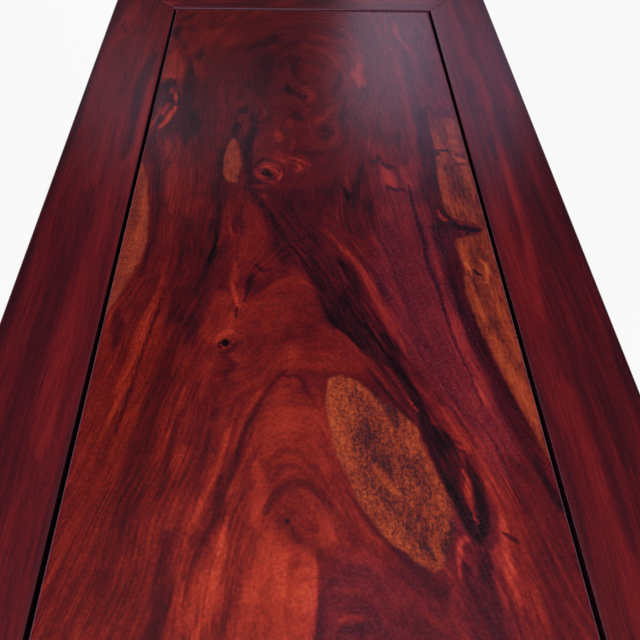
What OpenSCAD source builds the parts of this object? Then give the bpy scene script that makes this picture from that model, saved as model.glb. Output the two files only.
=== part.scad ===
// Recessed-leg wine table. A mitred frame holds a floating panel and stands on
// four splayed round legs, whose slotted heads clasp the aprons and spandrels.
// X runs along the length, Y from front to back, Z up from the floor.

/* [Table] */
// Overall length of the top
top_length = 980; // [880:10:1200]
// Overall depth of the top, front to back
top_depth = 480; // [460:10:560]
// Height of the top surface above the floor
table_height = 790; // [740:5:850]

/* [Top frame] */
// Width of each frame member, seen from above
rail_width = 76; // [72:1:80]
// Thickness of the frame members
rail_thick = 34; // [32:1:40]
// Radius of the small round along the top edge
edge_round = 3; // [1:0.5:4]
// Depth of the upright band, from the top surface down
edge_band = 11; // [9:1:13]
// How far the moulding draws in below the band
edge_inset = 13; // [9:1:15]
// Height of the flat bead along the foot of the moulding
edge_bead = 5; // [3:0.5:7]
// How far that bead stands out from the hollow above it
edge_bead_out = 2; // [1:0.5:3]
// Distance from the frame's inner edge to the corner tenon
corner_tenon_from = 18; // [16:1:22]
// Width of the tenon at each mitred corner
corner_tenon_width = 34; // [26:1:38]
// Thickness of the tenon at each mitred corner
corner_tenon_thick = 9; // [7:0.5:11]
// Height of the corner tenon above the frame's underside
corner_tenon_up = 8; // [7:0.5:9]
// Diameter of the peg that locks each corner from below
peg_diameter = 6; // [4:0.5:8]
// How far each peg goes up into the frame
peg_length = 24; // [20:1:26]
// Distance from the table's end to the corner pegs
peg_set_in = 26; // [24:1:28]

/* [Panel] */
// Width of the open groove left round the panel
panel_gap = 3.6; // [3:0.2:6]
// Thickness of the panel
panel_thick = 14; // [13:0.5:16]
// Thickness of the tongue round the panel's edge
tongue_thick = 6; // [4:0.5:7]
// Depth of the tongue's upper face below the top surface
tongue_down = 6; // [5:0.5:7]
// How far the tongue enters the frame
tongue_in = 8; // [6:0.5:9]
// Room left beyond the tongue for the panel to swell
swell_room = 2; // [1:0.5:3]

/* [Braces] */
// Distance from the middle brace to the braces beside it
brace_spacing = 208; // [180:4:240]
// Width of each brace
brace_width = 34; // [28:1:42]
// Height of each brace below the panel
brace_height = 18; // [15:0.5:18]
// Height of the dovetail that slides into the panel
dovetail_height = 5; // [3:0.5:5]
// Width of the dovetail where it leaves the brace
dovetail_neck = 20; // [14:1:24]
// How much wider the dovetail is at its top, on each side
dovetail_flare = 1.5; // [0.5:0.25:2]
// How far each brace tenon enters the frame
brace_tenon_in = 14; // [10:1:16]
// Thickness of the brace tenons
brace_tenon_thick = 10; // [7:0.5:12]
// Width of the brace tenons
brace_tenon_width = 24; // [18:1:28]

/* [Legs] */
// Diameter of each leg at the foot
foot_diameter = 44; // [40:0.5:48]
// Diameter of each leg under the frame
head_diameter = 38; // [36:0.5:40]
// Distance from the table's end to the axis of a leg, under the frame
leg_set_in_end = 140; // [134:1:160]
// Distance from the long edge to the axis of a leg, under the frame
leg_set_in_side = 40; // [38:0.5:42]
// Lean of the legs towards the ends, in degrees
splay_end = 1.2; // [0.4:0.1:1.8]
// Lean of the legs towards the front and back, in degrees
splay_side = 1; // [0.4:0.1:1.2]
// Height of the twin tenons on each leg's head
head_tenon_height = 20; // [14:1:24]
// Thickness of each twin tenon
head_tenon_thick = 6; // [4:0.5:6]
// Width of each twin tenon
head_tenon_width = 18; // [12:1:18]
// Distance from the slot's face to each twin tenon
head_tenon_from = 2.5; // [2:0.25:3]

/* [Aprons] */
// Thickness of the aprons and spandrels
apron_thick = 12; // [10:0.5:13]
// Height of the aprons
apron_height = 44; // [38:1:56]
// How far the spandrels hang below the aprons
spandrel_drop = 86; // [70:1:110]
// Reach of each spandrel to either side of its leg's axis
spandrel_reach = 58; // [48:1:64]
// Radius of the spandrel's lower corners
spandrel_corner = 26; // [14:1:30]
// Radius of the curve from spandrel into apron
spandrel_curve = 20; // [10:1:24]
// Height of the spandrel's mitred shoulder, let into the apron
spandrel_shoulder = 14; // [8:1:18]
// Width of the raised bead along the lower edges
bead_width = 4; // [3:0.5:6]
// How far that bead stands proud of the apron's face
bead_proud = 1.2; // [0.6:0.2:2]
// Length of the loose tenons between aprons and frame
key_length = 30; // [20:1:40]
// Thickness of those loose tenons
key_thick = 4; // [3:0.5:5]
// Depth of a loose tenon in each of the two pieces it joins
key_depth = 10; // [7:0.5:12]
// Spacing of the loose tenons along the long aprons
key_spacing = 230; // [160:5:240]
// Spacing of the loose tenons along the end aprons
end_key_spacing = 180; // [120:5:220]

/* [Stretchers] */
// Height of the upper pair's axis above the floor
stretcher_upper = 545; // [500:5:570]
// Height of the lower pair's axis above the floor
stretcher_lower = 400; // [340:5:450]
// Height of the stretchers' oval section
stretcher_tall = 28; // [24:1:32]
// Width of the stretchers' oval section
stretcher_wide = 20; // [16:1:24]
// Height of the stretcher tenons
stretcher_tenon_tall = 18; // [14:0.5:20]
// Thickness of the stretcher tenons
stretcher_tenon_thick = 8; // [6:0.5:10]
// How far the stretcher tenons enter the legs
stretcher_tenon_in = 24; // [16:1:28]

/* [Fits] */
// Clearance on each face of a tenon, slot or groove
fit = 0.1; // [0.05:0.05:0.2]

/* [Hidden] */
$fn = 96;
// How far a cutting shape runs past the piece it cuts
past = 1;
wood_panel = "#7c2a1c";
wood_frame = "#571b1a";
wood_leg = "#4f1817";
wood_apron = "#5a1c19";
wood_peg = "#7a4a2c";

opening_length = top_length - 2 * rail_width;
opening_depth = top_depth - 2 * rail_width;
frame_base = table_height - rail_thick;
panel_base = table_height - panel_thick;
apron_base = frame_base - apron_height;
spandrel_base = apron_base - spandrel_drop;
leg_head_x = top_length / 2 - leg_set_in_end;
leg_head_y = top_depth / 2 - leg_set_in_side;

// Where the axis of the leg at the back right stands at height z
function leg_x(z) = leg_head_x + (frame_base - z) * tan(splay_end);
function leg_y(z) = leg_head_y + (frame_base - z) * tan(splay_side);
function leg_radius(z) = (foot_diameter + (head_diameter - foot_diameter) * z / frame_base) / 2;

// The aprons' middle plane meets the leg's axis halfway down the slot, and the
// end aprons stand as far in from the end as the long ones from the side
apron_y = leg_y((frame_base + spandrel_base) / 2);
apron_face_y = apron_y + apron_thick / 2;
apron_face_x = top_length / 2 - top_depth / 2 + apron_face_y;
spandrel_x = leg_x((apron_base + spandrel_base) / 2);

// A box centred on x and y, standing at height z
module block(size, x, y, z) {
    translate([x, y, z + size[2] / 2]) cube(size, center = true);
}

// Everything is drawn at the back right, and mirrored to the side it stands on
module on_side(side_x, side_y) {
    mirror([side_x < 0 ? 1 : 0, 0, 0]) mirror([0, side_y < 0 ? 1 : 0, 0]) children();
}

// Section of a frame member: inner edge at x 0, underside at y 0
module rail_section() {
    hollow_tall = rail_thick - edge_bead - edge_band;
    hollow_out = (hollow_tall * hollow_tall - edge_inset * edge_inset) / (2 * edge_inset);
    difference() {
        square([rail_width, rail_thick]);
        translate([rail_width - edge_round, rail_thick - edge_round]) difference() {
            square(edge_round + past);
            circle(edge_round);
        }
        intersection() {
            translate([rail_width + hollow_out, edge_bead]) circle(edge_inset + hollow_out);
            translate([0, edge_bead]) square([rail_width + past, rail_thick]);
        }
        translate([rail_width - edge_inset + edge_bead_out, -past])
            square([edge_inset, edge_bead + past]);
    }
}
module long_stock() {
    translate([-top_length / 2, opening_depth / 2, frame_base])
        rotate([90, 0, 90]) linear_extrude(top_length) rail_section();
}
module end_stock() {
    translate([opening_length / 2, top_depth / 2, frame_base])
        rotate([90, 0, 0]) linear_extrude(top_depth) rail_section();
}

// The long members' side of the mitres, at the back, for frame and aprons alike
module long_side() {
    inner = (top_length - top_depth) / 2;
    reach = top_depth / 2 + past;
    translate([0, 0, apron_base - past])
        linear_extrude(table_height - apron_base + 2 * past)
            polygon([[-inner, 0], [inner, 0], [inner + reach, reach], [-inner - reach, reach]]);
}

// Joints of the frame, each drawn once for the piece and once, grown by a
// clearance, for the hole it sits in
module corner_tenon(grow) {
    block([
        rail_width + past, corner_tenon_width + 2 * grow, corner_tenon_thick + 2 * grow
    ],
        opening_length / 2 + (rail_width + past) / 2,
        opening_depth / 2 + corner_tenon_from + corner_tenon_width / 2,
        frame_base + corner_tenon_up - grow);
}
module corner_peg(grow, down) {
    translate([
        top_length / 2 - peg_set_in,
        opening_depth / 2 + corner_tenon_from + corner_tenon_width / 2,
        frame_base - down
    ]) cylinder(d = peg_diameter + 2 * grow, h = peg_length + grow + down);
}
module panel_groove() {
    depth = tongue_in + swell_room;
    block([opening_length + 2 * depth, opening_depth + 2 * depth, tongue_thick + 2 * fit],
        0, 0, table_height - tongue_down - tongue_thick - fit);
}
module brace_tenons(i, grow) {
    block([
        brace_tenon_width + 2 * grow,
        opening_depth + 2 * brace_tenon_in + 2 * grow,
        brace_tenon_thick + 2 * grow
    ],
        i * brace_spacing, 0,
        panel_base - (brace_height + brace_tenon_thick) / 2 - grow);
}
module dovetail(i, grow, long) {
    neck = dovetail_neck / 2 + grow;
    tip = neck + dovetail_flare;
    top = dovetail_height + grow;
    translate([i * brace_spacing, long / 2, panel_base]) rotate([90, 0, 0])
        linear_extrude(long)
            polygon([[-neck, -past], [neck, -past], [neck, 0], [tip, top], [-tip, top], [-neck, 0]]);
}
module head_tenons(grow) {
    middle = apron_thick / 2 + head_tenon_from + head_tenon_thick / 2;
    for (s = [-1, 1])
        block([
            head_tenon_width + 2 * grow, head_tenon_thick + 2 * grow,
            head_tenon_height + grow + past
        ],
            leg_head_x, apron_y + s * middle, frame_base - past);
}
module long_keys(grow) {
    for (i = [-1:1])
        block([key_length + 2 * grow, key_thick + 2 * grow, 2 * key_depth + 2 * grow],
            i * key_spacing, apron_y, frame_base - key_depth - grow);
}
module end_keys(grow) {
    for (s = [-1, 1])
        block([key_thick + 2 * grow, key_length + 2 * grow, 2 * key_depth + 2 * grow],
            apron_face_x - apron_thick / 2, s * end_key_spacing / 2,
            frame_base - key_depth - grow);
}

// Long frame member, mitred, with a tenon at each end that runs right through
// the end member and is trimmed to its moulding
module top_rail_long(side) {
    color(wood_frame) on_side(1, side) difference() {
        union() {
            intersection() {
                long_stock();
                long_side();
            }
            for (s = [-1, 1]) on_side(s, 1) intersection() {
                corner_tenon(0);
                end_stock();
            }
        }
        panel_groove();
        long_keys(fit);
        for (i = [-1:1]) brace_tenons(i, fit);
        for (s = [-1, 1]) on_side(s, 1) {
            head_tenons(fit);
            corner_peg(fit, past);
        }
    }
}

// End frame member, mortised for the corner tenons
module top_rail_end(side) {
    color(wood_frame) on_side(side, 1) difference() {
        end_stock();
        panel_groove();
        end_keys(fit);
        for (s = [-1, 1]) on_side(1, s) {
            long_side();
            corner_tenon(fit);
            corner_peg(fit, past);
        }
    }
}

// Floating panel: one board, tongued all round and housed for the braces
module top_panel() {
    color(wood_panel) difference() {
        union() {
            block([opening_length - 2 * panel_gap, opening_depth - 2 * panel_gap, panel_thick],
                0, 0, panel_base);
            block([opening_length + 2 * tongue_in, opening_depth + 2 * tongue_in, tongue_thick],
                0, 0, table_height - tongue_down - tongue_thick);
        }
        for (i = [-1:1]) dovetail(i, fit, opening_depth + 2 * tongue_in + 2 * past);
    }
}

// Brace across the panel's underside, tenoned into both long members
module brace(i) {
    color(wood_frame) union() {
        block([brace_width, opening_depth, brace_height],
            i * brace_spacing, 0, panel_base - brace_height);
        brace_tenons(i, 0);
        dovetail(i, 0, opening_depth - 2 * panel_gap);
    }
}

// Four round pegs, one up through each corner tenon
module corner_pegs() {
    color(wood_peg) for (sx = [-1, 1], sy = [-1, 1]) on_side(sx, sy) corner_peg(0, 0);
}

// Outline of the spandrel below the apron's edge at y 0, drawn in by a margin.
// Its curves run up into the mitred shoulders that are let into the apron.
module spandrel_outline(margin) {
    half = spandrel_reach - margin;
    corner = spandrel_corner - margin;
    foot = spandrel_reach + spandrel_curve;
    for (s = [0, 1]) mirror([s, 0]) {
        difference() {
            translate([0, margin - spandrel_drop]) square([half, spandrel_drop]);
            translate([half - corner, margin - spandrel_drop + corner]) difference() {
                translate([0, -corner - past]) square(corner + past);
                circle(corner);
            }
        }
        difference() {
            polygon([[0, -spandrel_curve], [foot, -spandrel_curve], [foot, 0],
                [foot - spandrel_shoulder, spandrel_shoulder], [0, spandrel_shoulder]]);
            translate([foot, -spandrel_curve]) circle(spandrel_curve + margin);
        }
    }
}
module shoulder_notch() {
    foot = spandrel_reach + spandrel_curve;
    polygon([[-foot, 0], [foot, 0], [foot - spandrel_shoulder, spandrel_shoulder],
        [spandrel_shoulder - foot, spandrel_shoulder]]);
}

// Stands an outline up at the back, between two distances from the middle plane
module stand_up(from, to) {
    translate([0, apron_y + to, apron_base])
        rotate([90, 0, 0]) linear_extrude(to - from) children();
}

// Long apron, notched for the spandrels' shoulders and mitred at both ends
module apron_long(side) {
    half = apron_face_x + bead_proud;
    color(wood_apron) on_side(1, side) difference() {
        intersection() {
            union() {
                stand_up(-apron_thick / 2, apron_thick / 2)
                    translate([-half, 0]) square([2 * half, apron_height]);
                stand_up(0, apron_thick / 2 + bead_proud)
                    translate([-half, 0]) square([2 * half, bead_width]);
            }
            long_side();
        }
        for (s = [-1, 1]) on_side(s, 1)
            stand_up(-apron_thick, apron_thick) translate([spandrel_x, 0]) shoulder_notch();
        long_keys(fit);
    }
}

// End apron, mitred into the long aprons
module apron_end(side) {
    color(wood_apron) on_side(side, 1) difference() {
        union() {
            block([apron_thick, 2 * apron_face_y, apron_height],
                apron_face_x - apron_thick / 2, 0, apron_base);
            block([apron_thick / 2 + bead_proud, 2 * (apron_face_y + bead_proud), bead_width],
                apron_face_x - (apron_thick / 2 - bead_proud) / 2, 0, apron_base);
        }
        for (s = [-1, 1]) on_side(1, s) long_side();
        end_keys(fit);
    }
}

// Loose tenons let half into the aprons and half into the frame
module apron_keys() {
    color(wood_peg) for (s = [-1, 1]) {
        on_side(1, s) long_keys(0);
        on_side(s, 1) end_keys(0);
    }
}

// Spandrel, one board through the leg's slot, with the apron's bead carried
// round its edge and stopped against the leg
module spandrel(side_x, side_y) {
    color(wood_apron) on_side(side_x, side_y) union() {
        stand_up(-apron_thick / 2, apron_thick / 2)
            translate([spandrel_x, 0]) spandrel_outline(0);
        difference() {
            stand_up(0, apron_thick / 2 + bead_proud)
                translate([spandrel_x, 0]) difference() {
                    spandrel_outline(0);
                    spandrel_outline(bead_width);
                }
            leg_cone(fit);
        }
    }
}

// Round leg before it is cut to length, along its leaning axis
module leg_cone(grow) {
    lean = atan(tan(splay_side) * cos(splay_end));
    over = foot_diameter;
    along = 1 / (cos(lean) * cos(splay_end));
    translate([leg_x(0), leg_y(0), 0]) rotate([lean, -splay_end, 0])
        translate([0, 0, -over * along])
            cylinder(h = (frame_base + 2 * over) * along,
                r1 = leg_radius(-over) + grow, r2 = leg_radius(frame_base + over) + grow);
}

// Leg with its slotted head, twin tenons and stretcher mortises
module leg(side_x, side_y) {
    color(wood_leg) on_side(side_x, side_y) difference() {
        union() {
            intersection() {
                leg_cone(0);
                block([4 * foot_diameter, 4 * foot_diameter, frame_base],
                    leg_head_x, leg_head_y, 0);
            }
            head_tenons(0);
        }
        block([3 * foot_diameter, apron_thick + 2 * fit, frame_base - spandrel_base + fit + past],
            leg_head_x, apron_y, spandrel_base - fit);
        stretcher_tenons(stretcher_upper, fit);
        stretcher_tenons(stretcher_lower, fit);
    }
}

// Tenons at both ends of the stretcher at height z
module stretcher_tenons(z, grow) {
    reach = leg_y(z) - leg_radius(z) + stretcher_tenon_in;
    block([
        stretcher_tenon_thick + 2 * grow, 2 * (reach + grow), stretcher_tenon_tall + 2 * grow
    ],
        leg_x(z), 0, z - stretcher_tenon_tall / 2 - grow);
}

// Oval stretcher between a front and a back leg, coped to their round
module stretcher(side_x, z) {
    color(wood_leg) on_side(side_x, 1) union() {
        difference() {
            translate([leg_x(z), leg_y(z), z]) rotate([90, 0, 0])
                linear_extrude(2 * leg_y(z))
                    scale([stretcher_wide, stretcher_tall]) circle(d = 1);
            for (s = [-1, 1]) on_side(1, s) leg_cone(0);
        }
        stretcher_tenons(z, 0);
    }
}

top_rail_long(-1);  // top_rail_front
top_rail_long(1);  // top_rail_back
top_rail_end(-1);  // top_rail_left
top_rail_end(1);  // top_rail_right
top_panel();
brace(-1);  // brace_left
brace(0);  // brace_middle
brace(1);  // brace_right
corner_pegs();
apron_long(-1);  // apron_front
apron_long(1);  // apron_back
apron_end(-1);  // apron_end_left
apron_end(1);  // apron_end_right
apron_keys();
spandrel(-1, -1);  // spandrel_front_left
spandrel(1, -1);  // spandrel_front_right
spandrel(-1, 1);  // spandrel_back_left
spandrel(1, 1);  // spandrel_back_right
leg(-1, -1);  // leg_front_left
leg(1, -1);  // leg_front_right
leg(-1, 1);  // leg_back_left
leg(1, 1);  // leg_back_right
stretcher(-1, stretcher_upper);  // stretcher_left_upper
stretcher(-1, stretcher_lower);  // stretcher_left_lower
stretcher(1, stretcher_upper);  // stretcher_right_upper
stretcher(1, stretcher_lower);  // stretcher_right_lower
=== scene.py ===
import math

import bmesh
import bpy
import numpy as np
from mathutils import Matrix, Vector
from mathutils.bvhtree import BVHTree


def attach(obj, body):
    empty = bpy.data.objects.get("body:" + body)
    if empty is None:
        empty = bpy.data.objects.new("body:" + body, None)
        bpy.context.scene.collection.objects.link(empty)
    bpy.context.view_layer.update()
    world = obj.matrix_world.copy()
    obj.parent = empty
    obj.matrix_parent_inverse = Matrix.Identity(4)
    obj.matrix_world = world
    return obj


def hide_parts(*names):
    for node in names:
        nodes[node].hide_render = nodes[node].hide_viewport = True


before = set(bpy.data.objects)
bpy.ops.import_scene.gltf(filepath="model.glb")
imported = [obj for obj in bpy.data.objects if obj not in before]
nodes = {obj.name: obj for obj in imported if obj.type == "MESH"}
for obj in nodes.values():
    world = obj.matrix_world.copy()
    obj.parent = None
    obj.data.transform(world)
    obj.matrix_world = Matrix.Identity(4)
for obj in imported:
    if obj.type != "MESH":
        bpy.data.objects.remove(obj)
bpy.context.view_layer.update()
MM = 0.001


# Camera. It stands at the table's right end, a forearm above the top, and looks down along the
# length, so that the far end of the top and its groove fill the picture.

# the camera's place in metres, and its turns in degrees
EYE = (0.3892, -0.0090, 1.1749)
HEADING, TILT, ROLL = 86.797, 37.868, 2.073


def added(name, data):
    """A new object of the scene."""
    made = bpy.data.objects.new(name, data)
    bpy.context.scene.collection.objects.link(made)
    return made


camera = added("camera", bpy.data.cameras.new("camera"))
camera.data.lens = 35
camera.data.sensor_width = 36
camera.matrix_world = (
    Matrix.Translation(EYE)
    @ Matrix.Rotation(math.radians(HEADING), 4, "Z")
    @ Matrix.Rotation(math.radians(TILT), 4, "X")
    @ Matrix.Rotation(math.radians(ROLL), 4, "Z")
)
bpy.context.scene.camera = camera
bpy.context.scene.view_settings.view_transform = "Standard"


# Studio. A seamless pale floor, a white surround with a dim ceiling, a large soft lamp above the
# near end, three small lamps for the legs and aprons, and four cool windows beyond the far end,
# whose reflections lie as a lilac sheen on the far part of the top.

# in metres, how far the floor lies below the feet and half its side; then the share of it that glows,
# and how strongly the surround lights the table
FLOOR_DROP = 0.0003
FLOOR_HALF = 9.0
FLOOR_GLOW = 0.9
ROOM_LIGHT = 0.22
WHITE = (1, 1, 1, 1)


def linear(code):
    """The linear colour of an sRGB hex value."""
    parts = [int(code[i:i + 2], 16) / 255 for i in (1, 3, 5)]
    return tuple(c / 12.92 if c <= 0.04045 else ((c + 0.055) / 1.055) ** 2.4 for c in parts) + (1.0,)


def emptied(owner):
    """The node tree of a material or a world, with nothing in it."""
    owner.use_nodes = True
    owner.node_tree.nodes.clear()
    return owner.node_tree


def add(tree, kind, inputs=None, out=0, stops=None, **settings):
    """Adds a node with its settings, inputs and ramp stops, and gives one of its outputs."""
    made = tree.nodes.new(kind)
    for name, value in settings.items():
        setattr(made, name, value)
    for key, value in (inputs or {}).items():
        if isinstance(value, bpy.types.NodeSocket):
            tree.links.new(value, made.inputs[key])
        else:
            made.inputs[key].default_value = value
    if stops:
        elements = made.color_ramp.elements
        while len(elements) < len(stops):
            elements.new(1.0)
        for element, (place, code) in zip(elements, stops):
            element.position = place
            element.color = linear(code)
    return made.outputs[out] if len(made.outputs) else made


def mesh_of(shape, name):
    """The mesh that a finished bmesh gives."""
    made = bpy.data.meshes.new(name)
    shape.to_mesh(made)
    shape.free()
    return made


paper_sheet = bmesh.new()
bmesh.ops.create_grid(paper_sheet, x_segments=12, y_segments=12, size=FLOOR_HALF)
floor_mesh = mesh_of(paper_sheet, "floor")
floor_mesh.transform(Matrix.Translation((0, 0, -FLOOR_DROP)))
floor = added("floor", floor_mesh)

# seamless paper: straight views and mirror images see it glow, and the rest of the light sees a pale floor
seamless = bpy.data.materials.new("seamless_paper_white")
tree = emptied(seamless)
path = tree.nodes.new("ShaderNodeLightPath")
seen = add(tree, "ShaderNodeMath", {0: path.outputs["Is Camera Ray"], 1: path.outputs["Is Glossy Ray"]},
           operation="ADD")
seen = add(tree, "ShaderNodeMath", {0: seen, 1: path.outputs["Is Transmission Ray"]},
           operation="ADD", use_clamp=True)
share = add(tree, "ShaderNodeMath", {0: seen, 1: FLOOR_GLOW}, operation="MULTIPLY")
paper = add(tree, "ShaderNodeBsdfDiffuse", {"Color": linear("#e6e5e2")})
glow = add(tree, "ShaderNodeEmission", {"Color": WHITE, "Strength": 1.0})
add(tree, "ShaderNodeOutputMaterial", {
    "Surface": add(tree, "ShaderNodeMixShader", {0: share, 1: paper, 2: glow})})
floor_mesh.materials.append(seamless)

# the surround: white where it is seen straight, and in mirror images a white band that fades just
# above the horizon, with a dim ceiling overhead
world = bpy.data.worlds.new("studio")
bpy.context.scene.world = world
tree = emptied(world)
path = tree.nodes.new("ShaderNodeLightPath")
toward = tree.nodes.new("ShaderNodeTexCoord")
height = add(tree, "ShaderNodeSeparateXYZ", {0: toward.outputs["Generated"]}, out=2)
wall = add(tree, "ShaderNodeMapRange", {0: height, 1: 0.04, 2: 0.12, 3: 1.0, 4: 0.03})
ceiling = add(tree, "ShaderNodeMapRange", {0: height, 1: 0.80, 2: 0.98, 3: 0.0, 4: 0.2})
room = add(tree, "ShaderNodeMath", {0: wall, 1: ceiling}, operation="MAXIMUM")
direct = add(tree, "ShaderNodeMath", {0: path.outputs["Is Camera Ray"],
                                      1: path.outputs["Is Transmission Ray"]},
             operation="ADD", use_clamp=True)
mirrored = add(tree, "ShaderNodeMath", {0: path.outputs["Is Glossy Ray"], 1: room}, operation="MULTIPLY")
dim = add(tree, "ShaderNodeMath", {0: path.outputs["Is Diffuse Ray"], 1: ROOM_LIGHT}, operation="MULTIPLY")
strength = add(tree, "ShaderNodeMath", {0: direct, 1: mirrored}, operation="MAXIMUM")
strength = add(tree, "ShaderNodeMath", {0: strength, 1: dim}, operation="MAXIMUM")
add(tree, "ShaderNodeOutputWorld", {
    "Surface": add(tree, "ShaderNodeBackground", {"Color": WHITE, "Strength": strength})})

# name, place and target in metres, width and height in metres, power in watts, colour; each window
# stands where the camera sees its mirror image at its target on the top
for name, place, target, size, power, code in (
        ("lamp_over_near_end", (1.5, -0.2, 2.6), (0.1, 0.0, 0.79), (1.6, 1.6), 46, "#fff8f0"),
        ("lamp_front", (0.2, -2.4, 0.40), (0.0, 0.0, 0.4), (0.7, 0.7), 10, "#ffffff"),
        ("lamp_back", (0.2, 2.4, 0.40), (0.0, 0.0, 0.4), (0.7, 0.7), 10, "#ffffff"),
        ("lamp_left_end", (-2.6, -0.2, 0.40), (0.0, 0.0, 0.4), (0.7, 0.7), 10, "#ffffff"),
        ("window_far_right", (-3.665, 0.599, 2.657), (-0.304, 0.095, 0.79), (0.54, 0.95), 2.5, "#ecdcff"),
        ("window_right", (-3.326, 1.165, 2.734), (-0.225, 0.185, 0.79), (0.79, 0.95), 2.15, "#eeccff"),
        ("window_left", (-3.193, -1.140, 2.747), (-0.20, -0.195, 0.79), (0.6, 0.6), 0.6, "#ecdcff"),
        ("window_far_left", (-3.000, -0.571, 2.781), (-0.16, -0.100, 0.79), (0.8, 0.5), 0.46, "#ecdcff")):
    lamp = bpy.data.lights.new(name, "AREA")
    lamp.shape = "RECTANGLE"
    lamp.size, lamp.size_y = size
    lamp.energy = power
    lamp.color = linear(code)[:3]
    turn = (Vector(place) - Vector(target)).to_track_quat("Z", "Y")
    added(name, lamp).matrix_world = Matrix.Translation(place) @ turn.to_matrix().to_4x4()


# The panel. One wide board of Dalbergia rosewood, wiped with oil and wax, that floats in the
# frame on a tongue, with an open groove all round. It is flat-sawn across a burl and two knots,
# with orange sapwood left in and a black resin pocket, so its figure is set out line by line.

# half the raised field's length and width, heights above the floor, and the rubbed arris, in mm
FIELD_X, FIELD_Y = 410.4, 160.4
PANEL_TOP = 790.0
TONGUE_TOP = 784.0
ARRIS = 1.3
# the surface grid: places along in mm, each with the step from there on, finest where the eye is near
GRID_ALONG = ((-FIELD_X + ARRIS, 3.2), (-200, 2.0), (-60, 1.4), (100, 1.15), (320, 4.0),
              (FIELD_X - ARRIS, 0))
GRID_ACROSS = 1.66
# the heartwood before anything is laid over it: its tone, and its hue
HEART_TONE, HEART_TINT = 0.46, 0.45
# how soft a line or an area has to be to feather out along the fibre
FEATHERED_LINE, FEATHERED_AREA = 0.65, 2.5
# an edge that turns further than this is an arris
SHARP = math.radians(40)

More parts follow.
